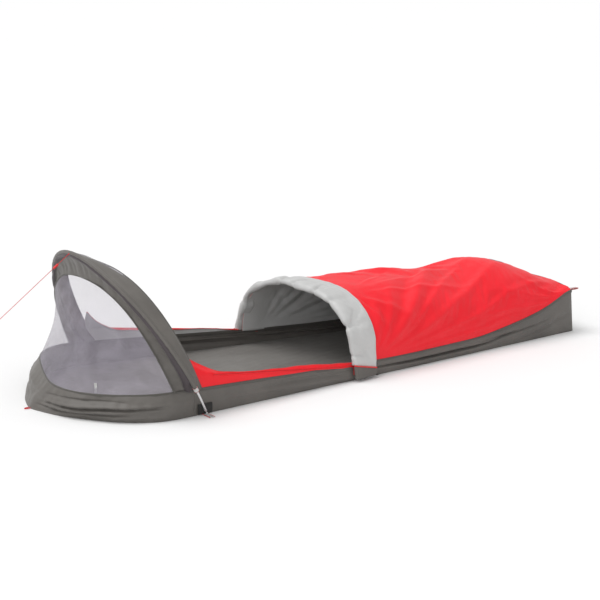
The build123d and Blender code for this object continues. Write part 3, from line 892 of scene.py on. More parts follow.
def binding_piece(name, line, stands_for, height=0.0085, thickness=0.0022):
    """A tape folded over a line. Its profile goes up one side, over the edge and down the other."""
    steps = unit(np.gradient(line, axis=0))
    out = unit(np.cross(steps, (0, 0, 1)))
    up = np.cross(out, steps)

    def place(u, v):
        angle = np.clip((u - 0.25) / 0.5, 0, 1) * math.pi
        off = np.cos(angle) * thickness
        falls = np.where(u > 0.75, -height * (u - 0.75) / 0.25, 0)
        lift = np.where(u < 0.25, -height * (1 - u / 0.25), falls) + np.sin(angle) * thickness * 0.8
        return at_step(line, v) + at_step(out, v) * off[:, None] + at_step(up, v) * lift[:, None]

    cloth_piece(name, (16, len(line) - 1), place, binding_cloth, "bag", [stands_for], wall=0.0009)


def edge_line(place, v, count, low=0.0, high=1.0):
    """The line across a panel at one share v."""
    return place(np.linspace(low, high, count), np.full(count, v))


for label, side in both_sides:
    binding_piece(f"rim_tape_{label}", edge_line(wall_place_for(side), 1.0, 400), f"rim_binding_{label}")
binding_piece("rim_tape_nose", edge_line(nose_place, 1.0, 260), "rim_binding_nose")
print("rim bound")

# %% [markdown]
# ## The cover
# The red cover is one sheet that arches from rim to rim and is filled out from inside. Its
# cross-section is boxier than an ellipse, so a superellipse gives it. It is pulled down at
# the flap's lower corners, and from there diagonal folds fan out over its side.

# %% Cover shape
front_near, front_top, front_far = fold_x - 0.001, fold_x - 0.028, fold_x - 0.075
cover_length = foot_x - fold_x


def front_at(u):
    """Where the cover's open edge lies, from the near rim (0) over the crest to the far rim (1)."""
    near = front_near + (front_top - front_near) * blended(u, 0.0, 0.5)
    return np.where(u < 0.5, near, front_top + (front_far - front_top) * blended(u, 0.5, 1.0))


def arch_point(u, x, lift):
    """A point of the cover's smooth arch, lifted off it, and the way out, for shares u and places x."""
    share = np.clip((x - fold_x) / cover_length, 0, 1)
    power = 2 / (2.75 - 0.65 * share)
    half = half_at(x) - 0.001
    base = rim_at(x) - 0.003
    rise = crest_at(x) - base
    # what fills the sack is low over the legs, high at the toes and gone at the foot seam
    rise = rise - 0.019 * np.exp(-((share - 0.30) / 0.32) ** 4)
    rise = rise + 0.018 * np.exp(-((share - 0.73) / 0.10) ** 2)
    rise = rise - 0.006 * np.exp(-((share - 0.57) / 0.07) ** 2)
    rise = rise - 0.007 * np.exp(-((share - 0.93) / 0.05) ** 2)
    # spread the points evenly along the arch
    angle = math.pi * (u - 0.045 * np.sin(4 * math.pi * u) * (1 - share))
    cos, sin = np.cos(angle), np.sin(angle)
    across = np.sign(cos) * np.abs(cos) ** power
    up = np.abs(sin) ** power
    side = np.stack([x, -half * across, base + rise * up], axis=1)
    outward = -np.sign(cos) * np.abs(cos) ** (2 - power) * rise
    out = unit(np.stack([0 * x, outward, np.abs(sin) ** (2 - power) * half], axis=1))
    return side + out * np.asarray(lift)[..., None], out

# %% [markdown]
# ## The cover's folds
# Folds fan out from the places where the cloth is pulled: the flap's lower corners, the front
# of the crest and the corners of the foot. They fade towards the seams, which hold them.

# %% Cover folds
near_folds = [
    # angle, height, width, start, end
    (40, 0.0140, 0.027, 0.02, 0.80),
    (31, 0.0042, 0.012, 0.10, 0.90),
    (22, 0.0085, 0.018, 0.04, 1.05),
    (57, 0.0050, 0.016, 0.03, 0.44),
    (12, 0.0050, 0.012, 0.12, 1.25),
    (5, 0.0035, 0.008, 0.10, 0.90),
    (73, 0.0035, 0.014, 0.03, 0.32),
]
top_folds = [
    (-6, 0.0050, 0.012, 0.03, 0.75),
    (8, 0.0045, 0.016, 0.05, 0.95),
    (-31, 0.0055, 0.015, 0.01, 0.34),
    (-58, 0.0050, 0.014, 0.00, 0.24),
    (24, 0.0035, 0.012, 0.08, 0.50),
]
foot_folds = [
    (160, 0.0045, 0.014, 0.02, 0.55),
    (173, 0.0040, 0.010, 0.05, 0.60),
    (143, 0.0045, 0.016, 0.02, 0.36),
]


def cover_height(x, b, girth):
    """The folds' height on the cover. b runs across, in metres from the near rim."""
    a = x - front_near
    total = 0.9 * fan_folds(a, b, (0.10, -0.005), near_folds)
    total += 0.8 * fan_folds(a, girth - b, (0.03, -0.005), near_folds)
    total += fan_folds(a, b, (0.09, 0.30), top_folds)
    total += 0.7 * fan_folds(a, girth - b, (0.03, 0.28), top_folds)
    total += fan_folds(a, b, (foot_x - front_near - 0.03, 0.02), foot_folds)
    total += fan_folds(a, girth - b, (foot_x - front_near - 0.03, 0.02), foot_folds)
    total += 0.0035 * waviness(a, b * 1.6, 0.34, 41) + 0.0012 * waviness(a, b, 0.10, 42)
    return total + 0.0004 * waviness(a, b, 0.035, 43, 9)


def cover_place(u, v):
    front = front_at(u) + 0.018
    x = front + v * (foot_x - 0.001 - front)
    girth = 0.95 - 0.32 * np.clip((x - fold_x) / cover_length, 0, 1)
    b = u * girth
    edge = np.clip(np.minimum(u, 1 - u) / 0.035, 0, 1) ** 0.8
    ends = np.clip((1 - v) / 0.03, 0, 1) * (0.35 + 0.65 * np.clip(v / 0.12, 0, 1))
    covered = np.exp(-(np.clip(x - front, 0, None) / 0.085) ** 4)
    folds = cover_height(x, b, girth) * edge * ends * (1 - covered)
    points = arch_point(u, x, folds - 0.009 * covered)[0]
    points[:, 0] -= foot_lean(x, points[:, 2])
    return points


cover = cloth_piece("cover_dome", (180, 262), cover_place, cover_cloth, "bag", ["cover"],
                    wall=None, turned=True)
print("cover", len(cover.data.polygons), "faces")

# %% [markdown]
# ## Letting the cloth settle
# Folds drawn from listed tables stay too regular. A short cloth simulation, with the sheet pinned along
# its seams, a little longer than its arch and blown up softly, buckles it into real creases.
# The settled mesh replaces the drawn one, so no simulation is left on the piece.

# %% Cloth settling


def settle(piece, pinned, frames=14, shrink=-0.005, pressure=0.5, stiffness=14, bending=1.6, cap=0.012):
    """Runs the cloth solver with gravity off, and keeps each point within cap of where it was."""
    mesh = piece.data
    start = np.array([v.co for v in mesh.vertices])
    group = piece.vertex_groups.new(name="seams")
    for index, weight in enumerate(pinned(start)):
        if weight > 0:
            group.add([index], float(weight), "REPLACE")
    cloth = piece.modifiers.new("settle", "CLOTH")
    settings = cloth.settings
    settings.quality = 4
    settings.mass = 0.12
    settings.tension_stiffness = settings.compression_stiffness = stiffness
    settings.shear_stiffness = stiffness * 0.6
    settings.bending_stiffness = bending
    settings.vertex_group_mass = "seams"
    settings.shrink_min = settings.shrink_max = shrink
    settings.use_pressure = pressure > 0
    settings.uniform_pressure_force = pressure
    settings.effector_weights.gravity = 0
    settings.air_damping = 4
    cloth.collision_settings.use_collision = False
    cloth.point_cache.frame_start, cloth.point_cache.frame_end = 1, frames
    scene = bpy.context.scene
    for step in range(1, frames + 1):
        scene.frame_set(step)
    shape = piece.evaluated_get(bpy.context.evaluated_depsgraph_get()).data
    moved = np.array([v.co for v in shape.vertices]) - start
    length = np.linalg.norm(moved, axis=1)
    moved *= (np.minimum(length, cap) / np.maximum(length, 1e-9))[:, None]
    piece.modifiers.remove(cloth)
    piece.vertex_groups.remove(group)
    for vert, point in zip(mesh.vertices, start + moved):
        vert.co = point
    scene.frame_set(1)
    print(piece.name, "settled, moved up to", round(float(length.max()) * 1000, 1), "mm")


def cover_pins(points):
    """The seams at the rim and the foot are held, and so is what the flap lies on."""
    held = []
    for x, y, z in points:
        at_seam = abs(y) > half_at(x) - 0.012 or x > foot_x - 0.012
        under_flap = x < front_at(np.array(0.5 + y / 0.8)) + 0.115
        held.append(1.0 if at_seam or under_flap else 0.0)
    return held


settle(cover, cover_pins)
thicken(cover, cloth_wall, coated_cloth)

# %% [markdown]
# ## The folded-back flap
# The cover's open end is turned back on itself, so its pale coated side shows. The turn is a
# soft roll, pinched in places, and the hem lies flat on the cover. One grid makes it all: its
# v runs from inside the cover, round the roll and out to the hem.

# %% Flap
flap_low, flap_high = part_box("entry_flap")
flap_width = flap_high.x - flap_low.x
flap_girth = 0.95
# place across the cover, and how deep the cloth is pinched there
roll_pinches = [
    (0.05, 0.4), (0.19, 1.0), (0.30, 0.75), (0.385, 0.9), (0.52, 0.8), (0.60, 0.8), (0.71, 0.4), (0.83, 0.3),
]
ray_slants = (0.3, 0.7, -0.5, 0.6, -0.2, 0.5, -0.6, 0.3)


def flap_profile(u, v):
    """(distance back from the roll's front, height above the cover) round the turned-back cloth."""
    pinch = sum(depth * np.exp(-((u - place) / 0.012) ** 2) for place, depth in roll_pinches)
    soft = 1 + 0.3 * waviness(u * 1.0, u * 0, 0.13, 51)
    roll = 0.0145 * soft * (1 - 0.55 * pinch)
    under = np.clip(v / 0.16, 0, 1)
    round_the_roll = np.clip((v - 0.16) / 0.2, 0, 1)
    over = np.clip((v - 0.36) / 0.64, 0, 1)
    angle = math.pi * (round_the_roll - 0.5)
    back = np.where(v < 0.16, roll + 0.03 * (1 - under), roll * (1 - np.cos(angle)))
    back = np.where(v > 0.36, roll + (flap_width - roll) * over, back)
    height = np.where(v < 0.16, -roll * 0.8, roll * np.sin(angle) * 0.9)
    lie = 0.0048 + (roll * 0.9 - 0.0048) * (1 - over) ** 1.6
    height = np.where(v > 0.36, lie, height)
    return back, height, pinch

# %% [markdown]
# ## Laying the flap on the cover
# The roll's profile is laid along the cover's arch. Pinches gather it, small rays run back
# from each pinch, and it takes up half of the cover's own folds, as it lies on them.

# %% Flap panel


def flap_place(u, v):
    back, height, pinch = flap_profile(u, v)
    front = front_at(u)
    shape = np.exp(-np.clip(back, 0, None) / 0.05)
    narrower = 0.14 * np.exp(-(u / 0.12) ** 2)
    x = front + back * (1 - narrower + 0.06 * waviness(u * 1.0, u * 0, 0.5, 52)) + 0.010 * pinch * shape
    b = u * flap_girth
    over = np.clip((v - 0.3) / 0.7, 0, 1)
    loose = np.sin(math.pi * np.clip(over, 0, 1)) ** 0.7
    ends = np.clip(np.minimum(u, 1 - u) / 0.03, 0, 1)
    bumps = 0.0030 * waviness(x, b * 0.6, 0.11, 53) + 0.0012 * waviness(x, b, 0.035, 54)
    bumps -= 0.0100 * pinch * shape * (v > 0.16)
    rays = 0
    for (place, depth), slant in zip(roll_pinches, ray_slants):
        off = b - place * flap_girth - (back - 0.02) * slant
        rays = rays + depth * 0.0075 * np.exp(-(off / (0.006 + 0.12 * back)) ** 2)
    lifted = height + (bumps - rays * loose) * ends * (0.35 + 0.65 * loose)
    height = np.where(v > 0.3, np.clip(lifted, 0.0015, None), lifted)
    cover_under = cover_height(x, b, flap_girth + 0 * x) * ends * 0.5 * np.clip(back / 0.05, 0, 1)
    points, out = arch_point(u, x, height + np.clip(cover_under, -0.002, 0.02) + 0.0015)
    uneven = 1 + 0.8 * waviness(u * 1.0, u * 0, 0.22, 55)
    droop = 0.010 * np.exp(-np.clip(back, 0, None) / 0.035) * uneven * ends
    points[:, 2] -= droop * np.abs(out[:, 2])
    end = np.exp(-(np.minimum(u, 1 - u) / 0.045) ** 2)
    points[:, 1] += np.where(u < 0.5, -1, 1) * (0.011 + 0.004 * over) * end
    points[:, 2] += (0.004 - 0.020 * over) * np.exp(-(np.minimum(u, 1 - u) / 0.05) ** 2)
    return points


flap = cloth_piece("flap_band", (420, 64), flap_place, coated_cloth, None, ["entry_flap"],
                   wall=0.0011, lining=coated_cloth)
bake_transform(flap)
hem_line = edge_line(flap_place, 1.0, 300, low=0.02, high=0.98)
tube_piece("flap_hem", hem_line, 0.0016, 3, coated_cloth, "flap")
print("flap width", round(flap_width, 3))

# %% [markdown]
# ## The flap's tail and piping
# Below the pale cloth the flap ends in a piece of tub cloth that hangs outside the wall, with
# a red piping between the two. The tail is a small grid that stands off the wall.

# %% Tail and piping
tail_bottom = 0.011


def tail_place_for(side):
    def place(u, v):
        top = flap_place(0 * u + (0 if side < 0 else 1), 0.28 + 0.72 * u)
        flare = 0.0022 + 0.007 * v + 0.0012 * waviness(u * 0.1, v * 0.03, 0.07, 61) * v
        top[:, 1] += side * (flare + 0.002 * np.sin(math.pi * u) * v)
        top[:, 2] += (tail_bottom - top[:, 2]) * v
        return top
    return place


for label, side in both_sides:
    place = tail_place_for(side)
    tail = cloth_piece(f"tail_cloth_{label}", (60, 24), place, tub_cloth, None,
                       [f"flap_tail_{label}"], wall=0.0014, turned=side < 0)
    seam = edge_line(place, 0.0, 60) + np.array((0, side * 0.0020, 0))
    hem = edge_line(place, 0.95, 60)
    zip_end = edge_line(place, 0.93, 12, low=0.93) + np.array((0, side * 0.0025, 0))
    parts = [
        tail,
        tube_piece(f"piping_{label}", seam, 0.0026, 4, red_webbing, None,
                   [f"flap_piping_{label}"]),
        tube_piece(f"tail_hem_{label}", hem, 0.0012, 3, tape_cloth, None),
        tube_piece(f"tail_zip_end_{label}", zip_end, 0.0032, 3, black_cloth, None),
    ]
    for piece in parts:
        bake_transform(piece)
print("tails at", tail_bottom, "m above the ground")

# %% [markdown]
# ## The red side strips
# From the hood to the flap the cover goes on as a low red strip along the zip. It is highest at
# the hood, where it is sewn to the hood's rear edge, and it leans inwards with a soft top edge.

# %% Side strips
strip_tops = [
    # distance from the hoop line, height of the top edge
    (-0.085, 0.228), (-0.044, 0.192), (0.02, 0.152), (0.082, 0.127), (0.171, 0.113), (0.253, 0.105),
    (0.412, 0.094), (0.560, 0.078), (0.665, 0.062),
]
strip_line = smooth_line([(hoop_x + along, 0, top) for along, top in strip_tops])
strip_folds = [(-30, 1, 0.012, 0.0, 0.3), (-12, 1, 0.01, 0.0, 0.5)]
zip_low, zip_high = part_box("zip_coil_near")


def zip_height(x):
    """The zip is straight, so that its slider can run, and comes down to the rim towards the flap."""
    return np.interp(x, [zip_low.x, zip_high.x], [zip_high.z - 0.0015, zip_low.z + 0.0015])


def strip_place_for(side, shift):
    def place(u, v):
        start, end = hoop_x - 0.005 - 0.085 * v, fold_x + 0.025 + shift
        x = start + u * (end - start)
        top = np.interp(x - shift * u, strip_line[:, 0], strip_line[:, 2])
        base = rim_at(x) - 0.002
        rise = np.clip(top - base, 0.004, None)
        # up to the zip the strip stands straight behind it, and above it leans in
        upright = np.clip(zip_height(x) + 0.004 - base, 0.0, 0.8 * rise)
        above = np.clip((rise * v - upright) / (rise - upright), 0, 1)
        free = above ** 0.5 * np.clip(np.minimum(u, 1 - u) / 0.03, 0, 1)
        fold = 0.003 * waviness(x, rise * v, 0.13, 71 + side) + 0.0012 * waviness(x, rise * v * 2, 0.04, 72)
        fold += 0.004 * fan_folds(x - start, rise * v, (0.0, 0.1), strip_folds)
        lean = rise * (0.16 + 0.55 * np.clip(rise / 0.14, 0, 1)) * above ** 1.5
        out = 0.0015 * np.clip(rise * v / np.clip(upright, 0.002, None), 0, 1)
        y = half_at(x) - 0.0005 + out - lean + free * fold
        z = base + rise * v + 0.002 * free * waviness(x, x * 0, 0.11, 73)
        return np.stack([x, side * y, z], axis=1)
    return place


for (label, side), shift in zip(both_sides, (0.0, front_far - front_near)):
    place = strip_place_for(side, shift)
    cloth_piece(f"strip_cloth_{label}", (280, 24), place, strip_cloth, "bag",
                [f"side_strip_{label}"], wall=0.0011, turned=side > 0, lining=coated_cloth)
    top = edge_line(place, 1.0, 260)
    tube_piece(f"strip_hem_{label}", top, 0.0016, 4, red_webbing, "bag")
print("side strips made")


# %% [markdown]
# ## The zip
# The zip runs along the strip's foot. Its tape is a narrow woven strip and its coil is a row of
# small teeth. A tooth is one bevelled box, repeated at the real pitch.

# %% Zip tape and coil


def zip_line_of(label, raise_by=0.0):
    low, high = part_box(f"zip_coil_{label}")
    side = -1 if label == "near" else 1
    near_y, far_y = (low.y, high.y) if side < 0 else (high.y, low.y)
    count = 260
    x = np.linspace(low.x, high.x, count)
    share = np.linspace(0, 1, count)
    z = (high.z - 0.0015) + (low.z - high.z + 0.003) * share
    y = near_y + (far_y - near_y) * share - side * 0.0008
    return np.stack([x, y + side * raise_by, z], axis=1)


def teeth_mesh(name, line, size):
    """Small bevelled blocks in two staggered rows along a line."""
    bm = bmesh.new()
    for k, point in enumerate(line):
        made = bmesh.ops.create_cube(bm, size=1)["verts"]
        bmesh.ops.scale(bm, vec=size, verts=made)
        shift = Vector((0, 0, 0.0007 if k % 2 else -0.0007))
        bmesh.ops.translate(bm, vec=Vector(point) + shift, verts=made)
    bmesh.ops.bevel(
        bm, geom=bm.edges[:], offset=0.00018, segments=1, affect="EDGES", profile=0.5, material=-1,
    )
    return mesh_from(bm, name)


zip_plastic, tree, shader = new_material("zip_plastic")
grain = node(tree, "ShaderNodeTexNoise", Scale=400.0, Detail=2.0)
tree.links.new(coordinates(tree, "Object"), grain.inputs["Vector"])
tone(tree, shader, grain.outputs["Fac"], (0.42, 0.006, 0.01), (0.58, 0.010, 0.014))
shader.inputs["Roughness"].default_value = 0.35
tooth_size, tooth_pitch, tape_width = (0.0017, 0.0016, 0.0022), 0.0028, 0.010
for label, side in both_sides:
    line = zip_line_of(label, 0.0018)
    name = f"zip_tape_weave_{label}"
    tape_mesh = strip_mesh(name, line + np.array((0, side * -0.0006, 0)), (0, 0, 1), tape_width)
    thicken(new_piece(name, tape_mesh, strip_cloth, "bag", [f"zip_tape_{label}"]), 0.0008)
    teeth = at_share(line, np.linspace(0.002, 0.998, int(length_of(line) / tooth_pitch)))
    name = f"zip_teeth_{label}"
    coil = teeth_mesh(name, teeth, tooth_size)
    new_piece(name, coil, zip_plastic, "bag", [f"zip_coil_{label}"])
print("zip teeth", len(teeth))

# %% [markdown]
# ## The hood
# The pole bends into a leaning hoop, and the hood is sewn to it: a front band, a recessed gusset
# coloured dark as painted shade, the pole's sleeve and a rear panel. Each is a strip between two arches, so
# the arches come first, and each strip's cross-section is then shaped by its own small curve.

# %% Hood arches
lean = math.radians(29)
plane_up = np.array((-math.sin(lean), 0, math.cos(lean)))
plane_out = np.array((math.cos(lean), 0, math.sin(lean)))
hoop_base = np.array((hoop_x, 0, hoop_z))
tip_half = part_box("tip_eyelet_far")[0].y + 0.0065
hoop_rise = (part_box("pole_sleeve")[1].z - hoop_z) / math.cos(lean) - 0.0066


def arch_line(shape):
    """An arch of (half width, rise, distance ahead of the hoop's plane) points."""
    near = []
    for half, rise, ahead in shape:
        near.append(hoop_base - plane_out * ahead + np.array((0, -half, 0)) + plane_up * rise)
    return smooth_line(near + mirrored(near))


pole_points = ((1, 0), (1.06, 0.155), (1.05, 0.345), (0.935, 0.595), (0.705, 0.79), (0.41, 0.935), (0.14, 1))
pole_line = arch_line([(share * tip_half, rise * hoop_rise, 0) for share, rise in pole_points])
front_line = arch_line([
    (0.3925, 0.130, 0.060), (0.378, 0.232, 0.048), (0.345, 0.324, 0.038), (0.297, 0.392, 0.028),
    (0.235, 0.438, 0.020), (0.148, 0.476, 0.014), (0.052, 0.491, 0.012),
])
rear_shape = [
    (0.3935, 0.0), (0.404, 0.09), (0.392, 0.19), (0.350, 0.300), (0.265, 0.384), (0.15, 0.424),
    (0.05, 0.430),
]
rear_base = np.array((hoop_x - 0.013, 0, rim_at(hoop_x - 0.013) + 0.001))
rear_up = np.array((-math.sin(lean * 0.86), 0, math.cos(lean * 0.86)))
rear_near = [rear_base + np.array((0, -half, 0)) + rear_up * rise for half, rise in rear_shape]
rear_line = smooth_line(rear_near + mirrored(rear_near))
sleeve_low = rim_at(hoop_x) + 0.012
pole_height = pole_line[:, 2]
pole_in = pole_line[pole_height > sleeve_low]
seam_foot_x = hoop_x - (rim_at(hoop_x) - hoop_z) * math.tan(lean)
seam_foot = np.array((seam_foot_x, -half_at(seam_foot_x) - 0.001, rim_at(seam_foot_x)))
hood_seam = np.concatenate([
    [seam_foot], pole_line[pole_height > sleeve_low + 0.03], [seam_foot * np.array((1, -1, 1))],
])
print("arches", len(pole_line), len(front_line), "crest", round(float(pole_line[:, 2].max()), 3))

# %% [markdown]
# ## The hood's strips
# A strip runs from one arch to the next, with a small raised or sunk profile between them.
# The gusset is sunk, and its cloth is coloured dark as painted shade, so it reads as a shaded groove between
# the band and the pole.

# %% Hood strips
def strip_between(first, second, profile):
    """A strip whose points run from the first arch (v 0) to the second (v 1) plus a raised profile."""
    def place(u, v):
        one, two = at_share(first, u), at_share(second, u)
        points = one + (two - one) * v[:, None]
        before, after = (at_share(first, np.clip(u + step, 0, 1)) for step in (-0.004, 0.004))
        out = unit(np.cross(after - before, two - one))
        return points + out * profile(u, v)[:, None]
    return place


hood_shares = np.linspace(0, 1, 200)
gusset_share = (0.90 - 0.34 * np.abs(2 * hood_shares - 1) ** 0.8)[:, None]
seam_line = at_share(hood_seam, hood_shares)
band_seam = at_share(front_line, hood_shares) * (1 - gusset_share) + seam_line * gusset_share
band_seam = band_seam - unit(seam_line - np.array((hoop_x, 0, 0.1))) * 0.006


def band_profile(u, v):
    tuck = 0.006 * np.sin(math.pi * v) ** 0.8 + 0.0035 * waviness(u * 1.5, v * 0.05, 0.16, 81)
    return tuck + 0.0016 * waviness(u * 1.5, v * 0.05, 0.05, 82) * np.sin(math.pi * v)


def gusset_profile(u, v):
    dip = 0.0015 * waviness(u * 1.5, v * 0.02, 0.06, 83) * np.sin(math.pi * v)
    return dip - 0.010 * np.sin(math.pi * v) ** 0.8


def rear_profile(u, v):
    low = np.exp(-np.minimum(u, 1 - u) / 0.1)
    folds = 0.0035 * waviness(u * 1.5, v * 0.16, 0.18, 84)
    folds += 0.002 * waviness(u * 1.5, v * 0.4, 0.05, 85) * low
    return (0.007 * np.sin(math.pi * v) ** 0.7 + folds * np.sin(math.pi * v)) * -1


rear_place = strip_between(hood_seam, rear_line, rear_profile)


def vent_share(u):
    """How much of the rear panel is solid cloth: all of it low down, little at the top."""
    return 1 - 0.62 * np.exp(-(np.abs(u - 0.5) / 0.125) ** 4)


band_place = strip_between(front_line, band_seam, band_profile)
band = cloth_piece("hood_band", (320, 16), band_place, hood_cloth, None, ["hood_front_band"])
gusset_place = strip_between(band_seam, hood_seam, gusset_profile)
gusset = cloth_piece("hood_gusset", (320, 10), gusset_place, gusset_cloth, None, wall=0.0011)
rear = cloth_piece("hood_rear", (320, 18), lambda u, v: rear_place(u, v * vent_share(u)), hood_cloth,
                   None, ["hood_rear_panel"], turned=True)
print("hood strips made")

# %% [markdown]
# ## The mesh
# Fine netting is mostly holes, so what is seen is a pale haze with darker seams. Alpha from a
# fine pattern of cells gives the threads, and soft blotches make them denser in places.

# %% Mesh finish
netting, tree, shader = new_material("netting")
vector = coordinates(tree, "UV")
cells = node(tree, "ShaderNodeTexVoronoi", {"feature": "DISTANCE_TO_EDGE"}, Scale=620.0, Randomness=0.15)
tree.links.new(vector, cells.inputs["Vector"])
threads = spread(tree, cells.outputs["Distance"], 0.62, 0.10, 0.10, 0.26, "SMOOTHSTEP")
density = call(tree, blotch, vector, Size=0.12)
denser = spread(tree, density, 0.0, 0.10, 0.35, 0.7)
tree.links.new(maths(tree, "ADD", threads, denser), shader.inputs["Alpha"])
tone(tree, shader, density, (0.30, 0.27, 0.33), (0.46, 0.43, 0.50))
shader.inputs["Roughness"].default_value = 0.7
shader.inputs["Sheen Weight"].default_value = 0.35


def vent_place(u, v):
    across = 0.24 + 0.52 * u
    return rear_place(across, vent_share(across) * (1 - v) + v)


vent = cloth_piece("hood_vent", (200, 10), vent_place, netting, None, wall=None)
print("vent netting", len(vent.data.polygons), "faces")

# %% [markdown]
# ## The netting
# The netting hangs from the hood's front edge to the nose's rim, and sags outwards. It is cut
# in two by a plane, into an upper part and a low skirt.

# %% Mesh window
mesh_low = edge_line(nose_place, 1.0, 400)
front_foot = front_line[0]
if front_foot[0] > tub_x:
    rim_steps = np.linspace(front_foot[0], tub_x, 12)
    near_rim_line = [np.array((x, -half_at(x), rim_at(x))) for x in rim_steps]
    mesh_low = np.concatenate([near_rim_line, mesh_low, mirrored(near_rim_line)])
else:
    mesh_low = mesh_low[(mesh_low[:, 0] < front_foot[0])]
    mesh_low = np.concatenate([[front_foot], mesh_low, mirrored([front_foot])])
mesh_creases = [
    # middle of v, slope, depth, width, start of u, end of u, bow
    (0.50, 0.9, 0.004, 0.02, 0.52, 0.9, 0.05), (0.3, -0.6, 0.003, 0.02, 0.1, 0.5, -0.04),
    (0.6, 0.3, 0.004, 0.02, 0.2, 0.48, 0.06), (0.75, -0.5, 0.003, 0.02, 0.4, 0.8, 0.05),
]


def mesh_place(u, v):
    low, high = at_share(mesh_low, u), at_share(front_line, u)
    low[:, 2] += 0.001
    points = low + (high - low) * v[:, None]
    before, after = (at_share(mesh_low, np.clip(u + step, 0, 1)) for step in (-0.01, 0.01))
    across = unit(np.cross(after - before, high - low))
    free = np.sin(math.pi * v) * np.sin(math.pi * u) ** 0.5
    sag = 0.026 * free + free * (0.004 * waviness(u * 1.2, v * 0.45, 0.3, 91) + creases(u, v, mesh_creases))
    return points + across * sag[:, None]


skirt_low, skirt_high = 0.115, 0.18
fold_far, fold_close = 0.245, 0.055
cut_way = np.array((0, 0, 1)) / (skirt_high - skirt_low) - plane_out / (fold_far - fold_close)
cut_x = hoop_x - (fold_far + (skirt_low - hoop_z) * plane_out[2]) / plane_out[0]


def part_of_net(name, upper):
    """The netting on one side of the cutting plane."""
    bm = bmesh.new()
    bm.from_mesh(net_mesh)
    bmesh.ops.bisect_plane(
        bm, geom=bm.verts[:] + bm.edges[:] + bm.faces[:], plane_co=(cut_x, 0, skirt_low), plane_no=cut_way,
        clear_inner=upper, clear_outer=not upper,
    )
    return mesh_from(bm, name)


net_mesh = cloth_mesh("net", 240, 80, mesh_place)
net_top = new_piece("mesh_net", part_of_net("mesh_net", True), netting, None, ["mesh_window"])
net_skirt = new_piece("mesh_net_skirt", part_of_net("mesh_net_skirt", False), netting, None)
print("netting", len(net_top.data.polygons), "and", len(net_skirt.data.polygons), "faces")

# %% [markdown]
# ## Bound edges
# Each raw edge of the hood is bound with a narrow rolled tape, which a thin tube stands for.

# %% Bound edges of the hood
edges = []
for name, line, radius in (
    ("front_edge", front_line, 0.0028), ("band_piping", band_seam, 0.0018), ("rear_edge", rear_line, 0.0024),
):
    edge = at_share(line, np.linspace(0, 1, 240))
    edges.append(tube_piece(f"hood_{name}", edge, radius, 3, binding_cloth, None))
print(len(edges), "bound edges")

# %% [markdown]
# ## Baking the hood
# The hood's low corners are sewn to the rim and its top lies along the pole. Each piece's
# place is baked into its mesh.
# The netting's two parts meet on the plane that cut them.

# %% Hood transforms
for piece in (band, gusset, rear, vent, *edges):
    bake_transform(piece)
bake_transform(net_skirt)
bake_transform(net_top)

# %% [markdown]
# ## Pole sleeve
# The pole runs in a sleeve that grips it loosely, so the sleeve is a tube with small puckers.

# %% Sleeve
sleeve_count = 420
sleeve_points = at_share(pole_in, np.linspace(0, 1, sleeve_count))


def sleeve_mesh(name, line, radius, sides=14):
    one = np.broadcast_to(plane_out, line.shape)
    two = unit(np.cross(unit(np.gradient(line, axis=0)), one))

    def place(u, v):
        angle = u * 2 * math.pi
        grow = radius * (1 + 0.10 * waviness(u * 0.04, v * 1.6, 0.03, 95) * np.sin(math.pi * u) ** 2)
        cos, sin = (np.cos(angle) * grow)[:, None], (np.sin(angle) * grow)[:, None]
        return at_step(line, v) + at_step(one, v) * cos + at_step(two, v) * sin

    return cloth_mesh(name, sides, len(line) - 1, place)


sleeve = new_piece("sleeve_tube", sleeve_mesh("sleeve_tube", sleeve_points, 0.0064), hood_cloth, "hoop",
                   ["pole_sleeve"])
bm = bmesh.new()
bm.from_mesh(sleeve.data)
bmesh.ops.remove_doubles(bm, verts=bm.verts[:], dist=1e-5)
bmesh.ops.recalc_face_normals(bm, faces=bm.faces[:])
bm.to_mesh(sleeve.data)
bm.free()
thicken(sleeve, 0.0008)
print("sleeve made")

# %% [markdown]
# ## Pole sections
# The pole is four tubes on a shock cord, joined by sleeves called ferrules. They follow the
# same smooth line as the cloth sleeve, so the sleeve never shows a corner of them.

# %% Pole


def share_near(line, point):
    """The share of a line's length at which it passes closest to a point."""
    shares = np.linspace(0, 1, 2001)
    away = np.linalg.norm(at_share(line, shares) - np.array(point), axis=1)
    return float(shares[away.argmin()])


def middle_of(node_name):
    low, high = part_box(node_name)
    return (low + high) / 2


tip_share = share_near(pole_line, (hoop_x, -tip_half, hoop_z + 0.02))
joint_share = share_near(pole_line, middle_of("ferrule_side_near"))
pole_radius, ferrule_radius, ferrule_half = 0.00425, 0.0051, 0.025
pole_length = length_of(pole_line)


def pole_piece(name, low, high, radius, material, stands_for):
    line = at_share(pole_line, np.linspace(low, high, max(12, int((high - low) * 300))))
    tube_piece(name, line, radius, 5, material, "hoop", [stands_for])

# %% [markdown]
# ## Metal, rubber and plastic
# Drawn aluminium has a fine grain along the tube, and moulded plastic a fine one all round.
# One noise, stretched for the pole, moves the tone, the roughness and the relief together.

# %% Hard finish


